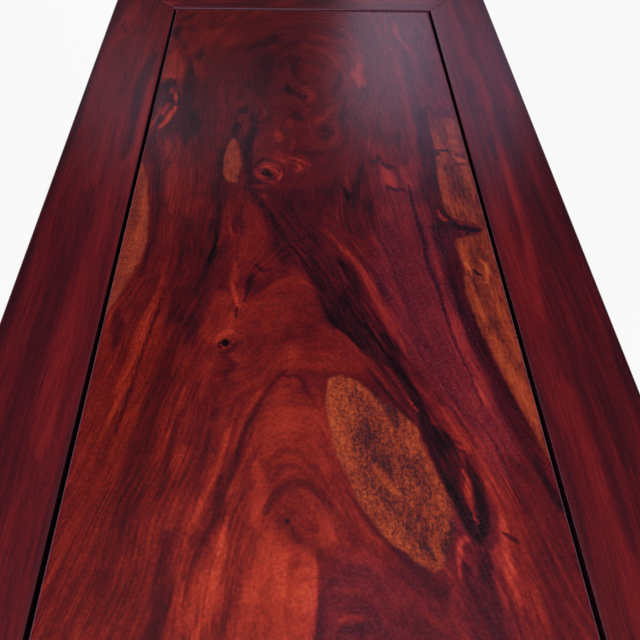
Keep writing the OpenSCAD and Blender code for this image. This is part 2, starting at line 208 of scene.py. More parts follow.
# Growth lines in the surface: level, then points (along, across) in mm. The fibres follow them.
GROWTH = (
    (0, ((33, -12), (45, 0), (60, 10), (90, 22), (110, 36), (140, 52), (170, 72), (200, 79), (230, 87),
        (258, 96), (290, 108), (330, 118), (410, 128))),
    (0, ((42, -25), (60, -42), (90, -56), (130, -70), (180, -86), (240, -102), (320, -118), (410, -130))),
    (12, ((137, -18), (150, -27), (170, -40), (200, -50), (230, -60), (260, -66), (320, -75), (410, -85))),
    (12, ((150, -10), (165, 0), (190, 12), (220, 22), (250, 36), (265, 50), (290, 75), (320, 92),
        (410, 105))),
    (20, ((205, -12), (215, -25), (235, -38), (265, -48), (320, -55), (410, -62))),
    (20, ((212, 0), (230, 10), (255, 22), (280, 40), (320, 62), (410, 85))),
    (27, ((230, -12), (245, -28), (270, -34), (320, -38), (410, -42))),
    (27, ((240, -2), (262, 8), (285, 22), (310, 45), (350, 60))),
    (34, ((292, 12), (300, 35), (330, 42), (355, 20), (330, -8), (305, -2))),
    (42, ((320, 20),)),
    (-8, ((-60, -28), (-30, -10), (0, 5), (30, 18), (60, 28), (90, 40), (120, 54), (150, 70), (175, 84),
        (205, 98), (240, 110), (290, 124), (350, 134))),
    (-20, ((-200, 42), (-160, 42), (-120, 25), (-80, 14), (-40, 16), (0, 28), (40, 46), (80, 60), (120, 74),
        (160, 92), (200, 110), (250, 126), (320, 142))),
    (-38, ((-200, 60), (-120, 55), (-60, 55), (0, 64), (60, 80), (120, 96), (200, 124), (300, 150))),
    (-60, ((-330, 78), (-260, 80), (-200, 78), (-100, 84), (-60, 92), (0, 99), (50, 103), (80, 107),
        (120, 113), (200, 136), (260, 155))),
    (-84, ((-411, 100), (-300, 108), (-200, 108), (-100, 114), (0, 119), (60, 122), (120, 127), (170, 142),
        (210, 160))),
    (-108, ((-411, 130), (-300, 134), (-200, 133), (-100, 134), (0, 138), (80, 142), (130, 150),
        (160, 160))),
    (-130, ((-411, 157), (-300, 158), (-200, 158), (0, 159), (60, 160))),
    (-8, ((-60, -55), (-20, -42), (0, -37), (20, -42), (40, -56), (70, -68), (110, -82), (160, -96),
        (240, -116), (320, -132))),
    (-22, ((-200, -45), (-165, -55), (-130, -60), (-100, -60), (-70, -62), (-40, -64), (10, -60), (40, -74),
        (100, -95), (180, -114), (260, -132), (330, -148))),
    (-42, ((-220, -92), (-160, -86), (-100, -86), (-50, -86), (0, -86), (50, -96), (110, -112), (180, -130),
        (250, -148), (290, -160))),
    (-64, ((-411, -42), (-380, -70), (-340, -100), (-300, -113), (-240, -113), (-180, -110), (-100, -108),
        (0, -110), (60, -116), (140, -132), (220, -152))),
    (-84, ((-411, -75), (-380, -100), (-340, -122), (-300, -133), (-240, -130), (-180, -128), (-120, -127),
        (-60, -125), (0, -124), (60, -130), (120, -142), (180, -158))),
    (-104, ((-411, -108), (-370, -130), (-320, -146), (-270, -148), (-200, -146), (-150, -147),
        (-100, -148), (-75, -146), (-50, -143), (0, -138), (20, -138), (40, -143), (80, -157))),
    (-124, ((-411, -135), (-370, -155), (-110, -160), (-50, -158), (0, -157), (30, -159))),
    (-42, ((-240, -93), (-290, -90), (-340, -70), (-375, -35), (-388, 5), (-375, 40), (-340, 62),
        (-290, 74), (-240, 74))),
    (-25, ((-240, -62), (-290, -62), (-335, -42), (-358, 0), (-340, 38), (-300, 57), (-250, 63),
        (-210, 55))),
    (-8, ((-225, -38), (-260, -42), (-295, -40), (-320, -25), (-332, 5), (-318, 32), (-290, 45), (-250, 48),
        (-220, 38))),
    (6, ((-310, 5), (-300, -18), (-270, -25), (-235, -18), (-207, 0), (-230, 22), (-265, 32), (-295, 25))),
    (18, ((-290, 5), (-270, -6), (-248, 0), (-265, 15))),
    (-14, ((-107, -38), (-99, -25), (-84, -22), (-72, -32), (-72, -44), (-84, -54), (-99, -52))),
    (0, ((-88, -38),)),
    (-14, ((-170, 20), (-160, 7), (-143, 9), (-138, 22), (-148, 34), (-163, 33))),
    (-2, ((-155, 20),)),
    (-18, ((-190, -28), (-150, -38), (-120, -4), (-30, 2))),
    (-6, ((102, -66), (110, -74), (118, -66), (110, -58))),
    (4, ((110, -66),)),
)

# Sapwood left in the board: how pale and how speckled it is, each from 0 to 1, and its outline in mm.
SAPWOOD = (
    (0.66, 1.0, ((141, 22), (145, 12), (164, 9), (190, 12), (205, 15), (222, 22), (238, 28), (252, 36),
        (264, 46), (274, 58), (282, 70), (276, 79), (266, 84), (255, 89), (240, 89), (222, 83), (200, 76),
        (184, 72), (172, 61), (157, 44), (147, 34))),
    (0.53, 0.25, ((-143, -74), (-135, -78), (-112, -81), (-85, -79.5), (-75, -75), (-74, -66), (-95, -63),
        (-115, -64), (-134, -68), (-142, -71))),
    (0.35, 0.1, ((-178, 128), (-150, 129), (-124, 128), (-118, 134), (-113, 127), (-60, 124), (-35, 125),
        (-24, 131), (-20, 145), (-15, 154), (-5, 157), (0, 170), (-178, 170))),
    (0.46, 0.15, ((-16, 170), (-12, 158), (-5, 151), (-3, 138), (2, 129), (10, 127), (24, 128.5), (38, 130),
        (50, 128), (66, 127.5), (80, 129), (100, 131.5), (120, 136), (140, 140), (160, 145), (190, 153),
        (230, 164), (230, 170))),
    (0.54, 0.45, ((-112, -164), (-100, -156), (-75, -149), (-50, -145), (-25, -141), (0, -139), (20, -140),
        (40, -145), (60, -151), (80, -158), (92, -166))),
)

# Mottling in the sapwood, set out as the figure is below.
SAP_STREAKS = (
    # teardrop: dull speckled middle, clearer margins, dark blotches toward the near end
    (0.47, 0.8, 1.0, ((160, 32, 5), (175, 36, 9), (200, 42, 12), (225, 52, 13), (245, 60, 12),
        (262, 66, 8))),
    (0.28, 0.6, 1.0, ((184, 36, 4), (198, 42, 6), (212, 50, 5))),
    (0.36, 0.6, 1.0, ((242, 62, 2), (252, 68, 3))),
    (0.30, 0.6, 1.0, ((204, 62, 3), (214, 68, 4), (226, 72, 3))),
    (0.24, 0.8, 1.0, ((148, 40, 2), (158, 47, 4), (168, 54, 4), (176, 58, 2))),
    (0.36, 0.6, 1.0, ((172, 56, 1), (186, 60, 1.4), (202, 65, 1))),
    (0.56, 0.6, 1.0, ((176, 63, 1.6), (188, 66, 1.6))),
    (0.42, 0.6, 1.0, ((208, 30, 2), (222, 38, 3), (236, 48, 3), (246, 56, 3))),
    (0.28, 0.8, 1.0, ((234, 86, 1.6), (248, 86, 3), (260, 82, 4.5), (270, 79, 4), (280, 74, 2))),
    (0.78, 0.7, 1.0, ((146, 15, 2.4), (160, 13, 3), (178, 15, 3), (198, 20, 3), (212, 26, 3))),
    (0.84, 0.7, 1.0, ((209, 43, 2), (218, 47.5, 3), (228, 52, 2))),
    (0.62, 0.6, 1.0, ((214, 78, 2), (230, 82, 3), (244, 85, 3))),
    (0.30, 0.6, 1.0, ((250, 54, 2), (260, 60, 2.4), (268, 66, 2))),
    (0.72, 0.7, 1.0, ((256, 74, 2), (264, 70, 3), (274, 70, 1.6))),
    (0.62, 0.7, 1.0, ((166, 26, 2), (176, 29, 3), (186, 30, 2))),
    # right edge, far part: a bright line along its inner margin
    (0.72, 0.7, 1.0, ((-80, 127, 1.2), (-62, 126.5, 1.4), (-44, 127, 1.6), (-32, 131, 1.6),
        (-24, 139, 1.4))),
    # right edge, near part: bright along the grain, dull streaks between
    (0.80, 0.7, 1.0, ((2, 136, 1.6), (20, 133, 2), (44, 133.5, 2), (70, 134.5, 2), (96, 137, 1.6))),
    (0.36, 0.7, 1.0, ((-4, 150, 3), (8, 147, 3), (20, 150, 2))),
    (0.46, 0.7, 1.0, ((10, 140, 1.6), (20, 141, 1.8), (30, 140, 1.6))),
    (0.24, 0.8, 0.8, ((34, 137, 1.2), (38, 139, 2.2), (42, 141, 1.6))),
    (0.96, 0.8, 0.7, ((30, 134, 1), (35, 134.5, 1.8), (40, 136, 1.4))),
    (0.26, 0.7, 1.0, ((42, 135, 2), (50, 136, 3), (60, 137, 2))),
    (0.40, 0.7, 1.0, ((50, 141, 2), (72, 141, 3), (94, 144, 3), (112, 149, 3))),
    (0.74, 0.7, 1.0, ((56, 151, 2), (80, 152, 3), (104, 154, 3), (124, 157, 2))),
    (0.86, 0.7, 1.0, ((108, 139, 1.6), (130, 145, 3.4), (150, 151, 4), (176, 158, 4))),
    # right edge, far part: dull and streaky
    (0.66, 0.7, 1.0, ((-116, 130.5, 1.4), (-90, 130, 2), (-60, 129.5, 2), (-36, 131, 2))),
    (0.34, 0.7, 1.0, ((-96, 146, 3), (-84, 144, 4), (-66, 143, 4), (-52, 147, 4))),
    (0.64, 0.7, 1.0, ((-108, 152, 2), (-84, 154, 2.4), (-60, 156, 2))),
    (0.58, 0.7, 1.0, ((-50, 138, 3), (-36, 142, 3), (-28, 150, 2))),
    (0.36, 0.7, 1.0, ((-186, 140, 3), (-166, 141, 4), (-150, 141, 3))),
    (0.64, 0.7, 1.0, ((-148, 132, 3), (-134, 133, 4), (-116, 136, 4), (-104, 137, 3))),
    (0.60, 0.7, 1.0, ((-180, 149, 3), (-152, 150, 4), (-128, 150, 3))),
    (0.20, 0.8, 0.6, ((-100, 143, 2), (-84, 142, 4.5), (-68, 142, 5), (-54, 145, 3))),
    (0.80, 0.8, 0.6, ((-114, 146, 1.2), (-109, 151, 2), (-105, 157, 1.6))),
    (0.05, 0.8, 0.6, ((-103, 144, 0.8), (-102, 149, 1.6), (-103, 154, 1))),
    (-0.1, 0.8, 0.6, ((-124, 130, 0.8), (-123, 136, 1.5), (-122, 143, 1.2))),
    # right edge, near part: a small dark eye between bright arcs of grain
    (0.26, 0.7, 0.6, ((14, 140, 3), (24, 141, 3.4), (34, 142, 2))),
    (1.10, 0.8, 0.6, ((30, 132, 0.8), (35, 134.5, 1.4), (38, 138, 1))),
    (1.00, 0.8, 0.6, ((26, 146, 0.8), (30, 150, 1.4), (40, 150, 1.6), (52, 147, 1.2))),
    (-0.2, 0.95, 0.6, ((36.5, 138, 0.8), (40, 140, 1.8), (43, 143, 1.2))),
    (0.24, 0.7, 0.6, ((44, 134, 2), (50, 137, 3), (58, 139, 2))),
    # left edge
    (0.74, 0.7, 1.0, ((-100, -160, 2), (-60, -150, 2.4), (-20, -146, 2.4), (10, -148, 2))),
    (0.40, 0.7, 1.0, ((-90, -156, 2), (-56, -156, 3), (-24, -155, 3), (4, -154, 2))),
    (0.62, 0.7, 1.0, ((14, -150, 2), (34, -149, 3), (50, -153, 2))),
)

# The figure: tone from 0, black, to 1, orange red, how fully it covers, how soft its edge is, then
# points in mm: a line of (along, across, half width), or the outline (along, across) of an area.
STREAKS = (
    # far left: red field with a fan of streaks, and the dark arc round the burl
    (0.50, 0.9, 14, ((-425, -175), (-425, -10), (-372, -20), (-350, -55), (-318, -95), (-300, -175))),
    (0.36, 0.7, 12, ((-365, -5), (-348, -48), (-325, -75), (-290, -112), (-235, -112), (-235, -50),
        (-290, -22), (-330, 5))),
    (0.60, 0.8, 0.8, ((-411, -79, 3), (-398, -84, 4), (-386, -91, 4), (-370, -98, 4), (-350, -105, 5),
        (-336, -111, 4))),
    (0.56, 0.7, 0.9, ((-380, -92, 3), (-362, -85, 5), (-345, -83, 8), (-330, -92, 6))),
    (0.58, 0.7, 0.8, ((-366, -112, 3), (-354, -114, 4), (-342, -119, 5), (-326, -114, 4))),
    (0.58, 0.7, 0.8, ((-322, -124, 3), (-314, -128, 4), (-302, -132, 3))),
    (0.58, 0.7, 0.8, ((-404, -122, 3), (-392, -131, 4), (-380, -136, 4), (-366, -140, 2))),
    (0.38, 0.7, 0.8, ((-402, -115, 3), (-384, -112, 4), (-368, -108, 3))),
    (0.38, 0.7, 0.8, ((-384, -99, 2.5), (-374, -102, 3), (-362, -106, 2))),
    (0.28, 0.7, 0.9, ((-394, -147, 4), (-382, -147, 5))),
    (0.30, 0.7, 0.9, ((-372, -136, 3), (-360, -135, 4))),
    (0.14, 0.8, 0.9, ((-358, -155, 4), (-342, -154, 5))),
    (0.34, 0.7, 0.9, ((-330, -144, 4), (-318, -141, 4))),
    (0.16, 0.8, 0.9, ((-346, -39, 4), (-330, -46, 8), (-318, -60, 6))),
    (0.26, 0.6, 0.9, ((-300, -42, 6), (-280, -46, 6))),
    (0.18, 0.85, 1.0, ((-315, -118.5, 1.5), (-306, -119.5, 3.5), (-299, -122, 4), (-292, -124, 2))),
    (0.42, 0.7, 1.0, ((-300, -95, 8), (-280, -95, 10), (-240, -88, 12), (-200, -82, 10))),
    (0.56, 0.7, 0.8, ((-286, -120, 3), (-272, -117, 4), (-256, -113, 4), (-244, -112, 3))),
    (0.70, 0.9, 3, ((-312, -150), (-300, -144), (-288, -140), (-272, -136), (-258, -136), (-249, -141),
        (-245, -150), (-248, -160), (-295, -162))),
    (0.24, 0.8, 0.8, ((-292, -134, 1.5), (-278, -131, 2.5), (-262, -129, 4), (-246, -129, 4))),
    (0.04, 0.9, 0.5, ((-282, -130, 1), (-268, -128, 1.8), (-252, -126.5, 2), (-241, -127.5, 1.5),
        (-231, -134, 1.5))),
    # burl
    (0.50, 0.8, 12, ((-352, 0), (-330, 40), (-300, 60), (-240, 66), (-208, 30), (-208, -8), (-262, -32),
        (-300, -10), (-320, -10))),
    (0.60, 0.8, 0.8, ((-352, 4, 2.5), (-346, 14, 4), (-341, 28, 4), (-338, 38, 3))),
    (0.62, 0.7, 0.8, ((-362, 50, 2), (-346, 56, 4), (-333, 62, 4), (-318, 66, 4), (-300, 63, 5),
        (-275, 65, 5))),
    (0.80, 0.8, 0.8, ((-282, 64, 3), (-268, 59, 5), (-256, 58, 6), (-245, 63, 5), (-236, 61, 2))),
    (0.62, 0.8, 0.8, ((-328, 3, 3), (-318, 14, 4), (-311, 26, 5), (-300, 34, 5), (-286, 37, 4),
        (-272, 36, 3))),
    (0.34, 0.7, 0.8, ((-338, 15, 2), (-331, 32, 3), (-318, 45, 3), (-302, 51, 3.5), (-286, 51, 3),
        (-270, 49, 3))),
    (0.34, 0.6, 0.8, ((-357, 36, 3), (-348, 47, 3), (-330, 70, 2), (-300, 72, 2))),
    (0.60, 0.7, 0.8, ((-283, 2, 2), (-277, 6, 4), (-262, 17, 6), (-252, 22, 5))),
    (0.30, 0.7, 0.9, ((-300, -12, 5), (-280, -10, 5), (-262, -14, 3))),
    (0.22, 0.8, 0.8, ((-264, 38, 2), (-250, 40, 2.5), (-232, 34, 4), (-222, 33, 3), (-205, 40, 2))),
    (0.58, 0.7, 0.8, ((-264, -28, 5), (-246, -26, 5), (-236, -34, 3))),
    (0.26, 0.7, 0.8, ((-268, -42, 4), (-250, -42, 4), (-234, -41, 3))),
    (0.20, 0.8, 0.7, ((-236, -20, 4), (-228, -16, 5), (-222, -8, 3), (-206, -1, 2))),
    (0.66, 0.8, 0.7, ((-236, 0, 3), (-225, 2, 5), (-214, 3, 3))),
    (0.26, 0.7, 0.7, ((-222, 15, 4), (-212, 16, 4), (-203, 9, 4), (-196, 12, 3))),
    (0.56, 0.7, 0.7, ((-228, 38, 1.5), (-212, 36, 2), (-198, 35, 2), (-185, 33, 2))),
    # left knot and the green black band beside it
    (0.22, 0.9, 4, ((-262, -134), (-255, -119), (-200, -120), (-182, -112), (-150, -108), (-138, -120),
        (-145, -150), (-160, -148), (-200, -133), (-232, -134))),
    (0.30, 0.8, 5, ((-240, -162), (-240, -140), (-205, -138), (-195, -148), (-170, -160))),
    (0.08, 0.8, 0.8, ((-246, -148, 3), (-238, -149, 6), (-228, -152, 5))),
    (0.12, 0.7, 0.8, ((-224, -146, 3), (-214, -145, 4), (-206, -143, 2))),
    (0.62, 0.9, 0.7, ((-231, -146, 2), (-225, -144, 3.5), (-221, -140, 3))),
    (0.92, 0.9, 0.6, ((-221, -141, 1.5), (-214, -139, 2.4), (-207, -137.5, 1.6))),
    (0.06, 0.8, 0.6, ((-224, -137.5, 1), (-214, -135, 1.3), (-203, -135.5, 1.5), (-198, -139, 1.5),
        (-192, -142, 1.3))),
    (0.94, 0.9, 0.6, ((-197, -137.5, 1.5), (-190, -138.5, 2.6), (-178, -142, 3), (-168, -145.5, 2.6),
        (-158, -150, 2))),
    (0.74, 0.8, 0.7, ((-202, -145.5, 2), (-194, -147, 3), (-186, -150, 3), (-172, -156, 4))),
    (0.08, 0.8, 0.7, ((-190, -144, 1), (-182, -147.5, 2.4), (-172, -151, 2.4), (-164, -152, 1))),
    (0.44, 0.7, 1.0, ((-156, -150, 6), (-144, -140, 8), (-132, -150, 6))),
    # purple stripes between the far left and the first knot
    (0.52, 0.6, 0.9, ((-240, -93, 3), (-225, -92, 3), (-205, -90, 3), (-180, -84, 3))),
    (0.54, 0.6, 0.9, ((-238, -80, 3), (-222, -79, 3), (-205, -82, 3))),
    (0.30, 0.6, 0.9, ((-215, -72, 4), (-206, -70, 4))),
    (0.16, 0.8, 0.8, ((-193, -64, 2), (-187, -66, 4), (-182, -68, 2))),
    (0.62, 0.8, 0.7, ((-181, -60, 2.5), (-174, -64, 3.5), (-167, -69, 3.5))),
    (0.18, 0.8, 0.8, ((-160, -72, 4), (-153, -74, 4))),
    (0.56, 0.7, 0.9, ((-166, -82, 3), (-157, -82, 4), (-150, -83, 3))),
    # left middle: red streaks between the sapwood and the dark line
    (0.50, 0.9, 8, ((-145, -142), (-100, -134), (-60, -128), (-20, -126), (30, -122), (80, -122), (80, -84),
        (40, -88), (0, -90), (-60, -90), (-120, -90), (-140, -100))),
    (0.60, 0.9, 6, ((-112, -128), (-60, -122), (-42, -116), (-50, -96), (-80, -96), (-112, -112))),
    (0.64, 0.8, 0.7, ((-140, -137, 2), (-128, -135, 3), (-112, -133, 3), (-92, -130, 2.5), (-72, -127.5, 3),
        (-52, -125, 3), (-36, -122, 2))),
    (0.62, 0.8, 0.8, ((-76, -112, 4), (-60, -111, 6), (-50, -109, 6), (-36, -105, 4))),
    (0.24, 0.8, 0.8, ((-142, -156, 4), (-128, -153, 5), (-112, -147, 5), (-96, -143, 4.5), (-78, -143, 4),
        (-62, -137, 4.5), (-44, -135, 4.5), (-20, -134, 3), (10, -134, 2.5), (36, -137, 2.5))),
    (0.24, 0.7, 0.8, ((-128, -128, 1.5), (-112, -136, 1.5), (-92, -134, 1.5))),
    (0.34, 0.8, 8, ((-25, -110), (-25, -90), (40, -90), (75, -88), (150, -104), (150, -112), (70, -112),
        (20, -114))),
    (0.20, 0.7, 0.9, ((66, -110, 3), (90, -106, 5), (104, -94, 5), (86, -90, 5))),
    (0.54, 0.7, 0.8, ((8, -119, 2), (28, -119, 2.5), (46, -119, 3))),
    (0.20, 0.75, 1.0, ((-126, -85, 3), (-108, -84, 3), (-90, -83, 3.5), (-74, -80.5, 5), (-58, -79, 6.5),
        (-44, -79.5, 5), (-30, -82, 4), (-12, -83, 4), (2, -82, 3.5))),
    (0.03, 0.9, 0.8, ((-2, -81.5, 1.2), (12, -80.5, 2.4), (22, -81.5, 2.6), (34, -84.5, 2))),
    (0.20, 0.8, 0.8, ((34, -85, 2.5), (48, -89, 3), (62, -92, 3))),
    (0.16, 0.8, 0.7, ((-186, -52, 3), (-160, -53, 4), (-138, -57, 4), (-112, -57, 4.5), (-90, -54, 4),
        (-72, -52, 4), (-56, -47, 4), (-42, -41, 3))),
    # lobe left of the dark band
    (0.50, 0.8, 4, ((-62, -72), (-48, -54), (-36, -44), (-24, -38), (0, -33), (14, -36), (30, -48),
        (60, -56), (60, -80), (0, -76), (-30, -76))),
    (0.57, 0.85, 4, ((-48, -56), (-36, -45), (-26, -39.5), (-14, -36), (-4, -34), (6, -33.5), (16, -37),
        (26, -44), (34, -52), (22, -58), (0, -60), (-20, -57), (-36, -58))),
    (0.62, 0.7, 0.8, ((-12, -70, 2), (-4, -67, 3), (4, -66, 2))),
    (0.26, 0.7, 0.7, ((-46, -60.5, 1.2), (-32, -60.5, 1.5), (-18, -59, 1.5), (-6, -58, 1))),
    (0.24, 0.7, 0.8, ((-30, -64, 2), (-20, -64, 2.4), (-10, -66, 1.5))),
    # round the first knot: mottled red brown, flames and a faint ring
    (0.42, 0.8, 10, ((-205, -32), (-205, 20), (-150, 38), (-90, 32), (-30, 20), (-30, -20), (-60, -34),
        (-120, -48), (-170, -48))),
    (0.72, 0.8, 0.7, ((-156, -29, 2), (-148, -28, 4), (-140, -27, 3.5))),
    (0.58, 0.7, 0.8, ((-180, -30, 3), (-168, -28, 3), (-156, -28, 3))),
    (0.62, 0.8, 0.7, ((-174, -18, 3), (-166, -18, 4))),
    (0.62, 0.7, 0.7, ((-140, -13, 2), (-133, -13, 2.4), (-124, -16, 2))),
    (0.62, 0.7, 0.7, ((-199, -5, 1.5), (-193, -4, 2), (-188, -2, 1.5))),
    (0.16, 0.8, 0.8, ((-186, -14, 4), (-180, -10, 4.5))),
    (0.64, 0.7, 0.7, ((-194, 27, 3), (-187, 24, 3.5), (-182, 20, 2), (-172, 18, 2))),
    (0.60, 0.7, 0.7, ((-178, 11, 3), (-168, 13, 3))),
    (0.60, 0.7, 0.6, ((-168, 4, 1.5), (-156, 4.5, 2), (-146, 6, 2), (-138, 9, 2))),
    (0.64, 0.7, 0.6, ((-166, 31, 1.5), (-154, 33, 1.8), (-144, 30, 2), (-134, 24, 2))),
    (0.24, 0.8, 0.8, ((-160, 21, 4), (-151, 22, 4.5), (-142, 18, 3))),
    (0.22, 0.7, 0.9, ((-200, 42, 3), (-180, 41, 4), (-152, 40, 3))),
    (0.30, 0.7, 0.9, ((-126, 0, 5), (-118, -6, 5), (-120, 14, 4))),
    (0.56, 0.8, 5, ((-118, -26), (-114, 2), (-100, 2), (-86, -4), (-84, -14), (-96, -20), (-104, -26))),
    (0.82, 0.8, 0.7, ((-111, -17, 1.4), (-109, -9, 2), (-106, -3, 2.2), (-102, -1, 1.6))),
    (0.78, 0.8, 0.7, ((-103, -12, 1.6), (-99, -6, 2.2), (-93, -6, 2.4), (-88, -8, 1.6))),
    (0.74, 0.7, 0.7, ((-116, -6, 1), (-110, 1, 1.2), (-100, 3, 1.2))),
    (0.36, 0.6, 0.7, ((-108, -13, 1), (-103, -8, 1.2), (-98, -2, 1))),
    (0.62, 0.8, 0.8, ((-120, -28, 4), (-110, -25, 5), (-104, -20, 4))),
    (0.56, 0.85, 4, ((-108, -43), (-105, -34), (-100, -26), (-90, -23), (-80, -23), (-71, -26), (-68, -36),
        (-74, -46), (-86, -50), (-98, -48))),
    (0.76, 0.8, 0.9, ((-101, -39, 1.2), (-98, -33, 2), (-92, -29, 1.6))),
    (0.82, 0.8, 0.9, ((-89, -27, 1.8), (-82, -25, 2.6), (-76, -28, 2.4), (-72, -31, 1.4))),
    (0.72, 0.8, 0.9, ((-98, -45, 1.2), (-90, -47.5, 1.6), (-84, -47, 1.2))),
    (0.78, 0.7, 0.9, ((-79, -45, 1.6), (-74, -40, 1.8))),
    (0.42, 0.7, 0.7, ((-94, -28, 0.8), (-88, -24.5, 1))),
    (0.38, 0.7, 0.7, ((-84, -31, 0.8), (-77, -33, 1))),
    (0.36, 0.7, 0.7, ((-99, -42, 0.8), (-95, -45, 1))),
    (0.10, 0.8, 0.6, ((-113, -40, 0.8), (-105, -45.5, 1.1), (-97, -49.5, 1))),
    (0.04, 0.95, 0.7, ((-92, -39, 2.4), (-88, -38, 4), (-83, -37, 3.6), (-80, -38, 2))),
    (-0.02, 0.9, 0.6, ((-90, -38.5, 1.6), (-87, -36, 1.6), (-83, -35.5, 1.4))),
    (0.42, 0.8, 0.5, ((-87, -40, 0.6), (-84, -39.4, 0.6))),
    (0.66, 0.8, 0.7, ((-69, -37, 2), (-60, -37.5, 1.8), (-53, -38, 1))),
    (0.80, 0.8, 0.6, ((-56, -38, 0.9), (-53, -38, 1.1))),
    (0.26, 0.6, 1.2, ((-72, -50, 3), (-64, -48, 3), (-60, -28, 3))),
    # purple sheen side, far right
    (0.44, 0.9, 14, ((-425, 70), (-300, 76), (-230, 72), (-200, 46), (-130, 42), (-100, 62), (-100, 122),
        (-160, 170), (-425, 170))),
    (0.58, 0.7, 0.8, ((-366, 89, 2), (-350, 92, 2.5), (-336, 96, 2.5), (-322, 100, 3), (-308, 105, 2.5),
        (-290, 108, 3), (-260, 109, 4), (-220, 110, 4), (-180, 110, 3), (-130, 107, 3))),
    (0.76, 0.8, 0.8, ((-378, 113, 2), (-362, 115, 3), (-350, 113.5, 3), (-338, 117, 2.5), (-322, 122, 2.5),
        (-308, 126, 2))),
    (0.24, 0.7, 0.8, ((-362, 140, 3), (-350, 142, 4), (-338, 141, 3))),
    (0.24, 0.7, 0.9, ((-306, 117, 4), (-290, 119, 5), (-262, 119, 5), (-230, 118, 4), (-190, 118, 4))),
    (0.26, 0.7, 0.9, ((-312, 139, 4), (-294, 138, 5), (-268, 141, 5), (-244, 140, 4))),
    (0.34, 0.6, 0.9, ((-390, 60, 5), (-360, 66, 5), (-320, 76, 5), (-290, 82, 5))),
    (0.60, 0.7, 0.8, ((-312, 154, 2.5), (-302, 156, 3.5), (-292, 157, 2.5))),
    (0.26, 0.7, 0.9, ((-234, 66, 4), (-226, 68, 5), (-216, 68, 3))),
    (0.56, 0.6, 0.9, ((-190, 86, 2), (-180, 85, 4), (-168, 84, 3), (-150, 84, 3))),
    (0.24, 0.7, 0.9, ((-165, 76, 4), (-150, 78, 4))),
    (0.20, 0.7, 0.9, ((-150, 94, 4), (-138, 94, 5), (-120, 98, 4), (-106, 98, 3))),
    (0.54, 0.6, 0.9, ((-146, 55, 6), (-128, 62, 6), (-112, 76, 5))),
    (0.24, 0.7, 0.8, ((-194, 134, 4), (-186, 140, 4), (-190, 150, 4))),
    # bright spot above the middle, and the dark purple stripes beside it
    (0.50, 0.8, 8, ((-98, 40), (-98, 104), (-20, 98), (-20, 40), (-60, 34))),
    (0.78, 0.9, 0.7, ((-92, 76, 2.5), (-84, 76, 5), (-76, 77.5, 6.5), (-69, 80, 4.5))),
    (0.66, 0.8, 0.7, ((-98, 92, 2), (-88, 93, 3), (-78, 94, 4), (-70, 96, 4), (-64, 94, 2))),
    (0.30, 0.7, 0.7, ((-90, 86, 1.2), (-80, 86, 1.6), (-70, 88, 1.5))),
    (0.14, 0.8, 0.8, ((-106, 66, 2.5), (-101, 74, 4), (-98, 84, 2.5))),
    (0.12, 0.8, 0.7, ((-63, 76, 2), (-61, 84, 2.5), (-61, 90, 2))),
    (0.68, 0.8, 0.7, ((-78, 37, 2), (-70, 39, 3.4), (-66, 40, 2))),
    (0.12, 0.8, 0.8, ((-62, 34, 3), (-57, 39, 4), (-52, 36, 3))),
    (0.20, 0.7, 0.8, ((-96, 53, 3), (-82, 50, 4), (-66, 47, 4), (-50, 46, 3))),
    (0.28, 0.7, 0.9, ((-46, 40, 4), (-24, 36, 5), (-10, 38, 5))),
    # right half
    (0.54, 0.9, 10, ((-40, 62), (-40, 110), (60, 110), (140, 124), (200, 140), (200, 104), (140, 84),
        (80, 62), (20, 48))),
    (0.58, 0.7, 0.9, ((-50, 78, 3), (-36, 76, 4), (-20, 74, 3), (-8, 74, 2))),
    (0.58, 0.8, 0.8, ((-14, 16, 1.6), (0, 22, 2.2), (12, 28, 2.4), (22, 34, 2.6))),
    (0.72, 0.85, 0.7, ((18, 33, 1.8), (30, 40, 3), (42, 45.5, 3.2), (54, 49.5, 3.4), (68, 53, 3.4),
        (82, 57, 3.2), (96, 61, 3.4), (108, 66, 3.2), (120, 71, 2.4), (130, 75, 1.4))),
    (0.32, 0.7, 0.7, ((24, 46, 1.4), (36, 51, 2), (50, 57, 2), (66, 60.5, 1.8), (84, 64, 1.4))),
    (0.60, 0.8, 0.8, ((10, 54, 3), (24, 58, 4), (38, 64, 4.5), (54, 68, 4.5), (72, 70, 4), (92, 70, 5),
        (106, 72, 4))),
    (0.40, 0.6, 0.8, ((30, 70, 2), (60, 76, 2.4), (90, 80, 2.4), (120, 86, 2.4))),
    (0.12, 0.85, 0.65, ((-70, 96.5, 1), (-44, 97, 1.4), (-22, 98, 1.4), (-4, 101, 1.4), (10, 101.5, 1.6),
        (24, 100, 1.5), (36, 100.5, 1.3), (46, 103.5, 1.4), (60, 105.5, 1.5), (76, 107, 1.3),
        (96, 108.5, 1.1), (118, 111.5, 0.9), (142, 116.5, 0.8), (168, 121, 0.7))),
    (0.62, 0.8, 0.7, ((-34, 107, 2.5), (-10, 107, 3.2), (14, 107.5, 3.2), (30, 108, 3.2), (44, 110.5, 2.8),
        (60, 112, 2.4), (84, 113, 2.8), (104, 116, 3.6), (124, 119, 4), (144, 122.5, 3.6), (164, 126, 3.4),
        (184, 129, 4), (204, 132, 3.6))),
    (0.15, 0.95, 3, ((-200, 114), (-150, 114), (-90, 110), (-50, 109), (-20, 112), (0, 111), (40, 113),
        (70, 118), (90, 120), (110, 123), (130, 127), (150, 131), (170, 134), (190, 139), (240, 154),
        (240, 160), (186, 152), (160, 146), (140, 141), (120, 137), (100, 134), (60, 130), (0, 130),
        (-60, 126), (-130, 129), (-200, 130))),
    (0.04, 0.8, 0.7, ((60, 127.5, 1.2), (90, 129, 1.8), (110, 131.5, 2), (130, 135, 2), (150, 139.5, 2),
        (170, 144.5, 2))),
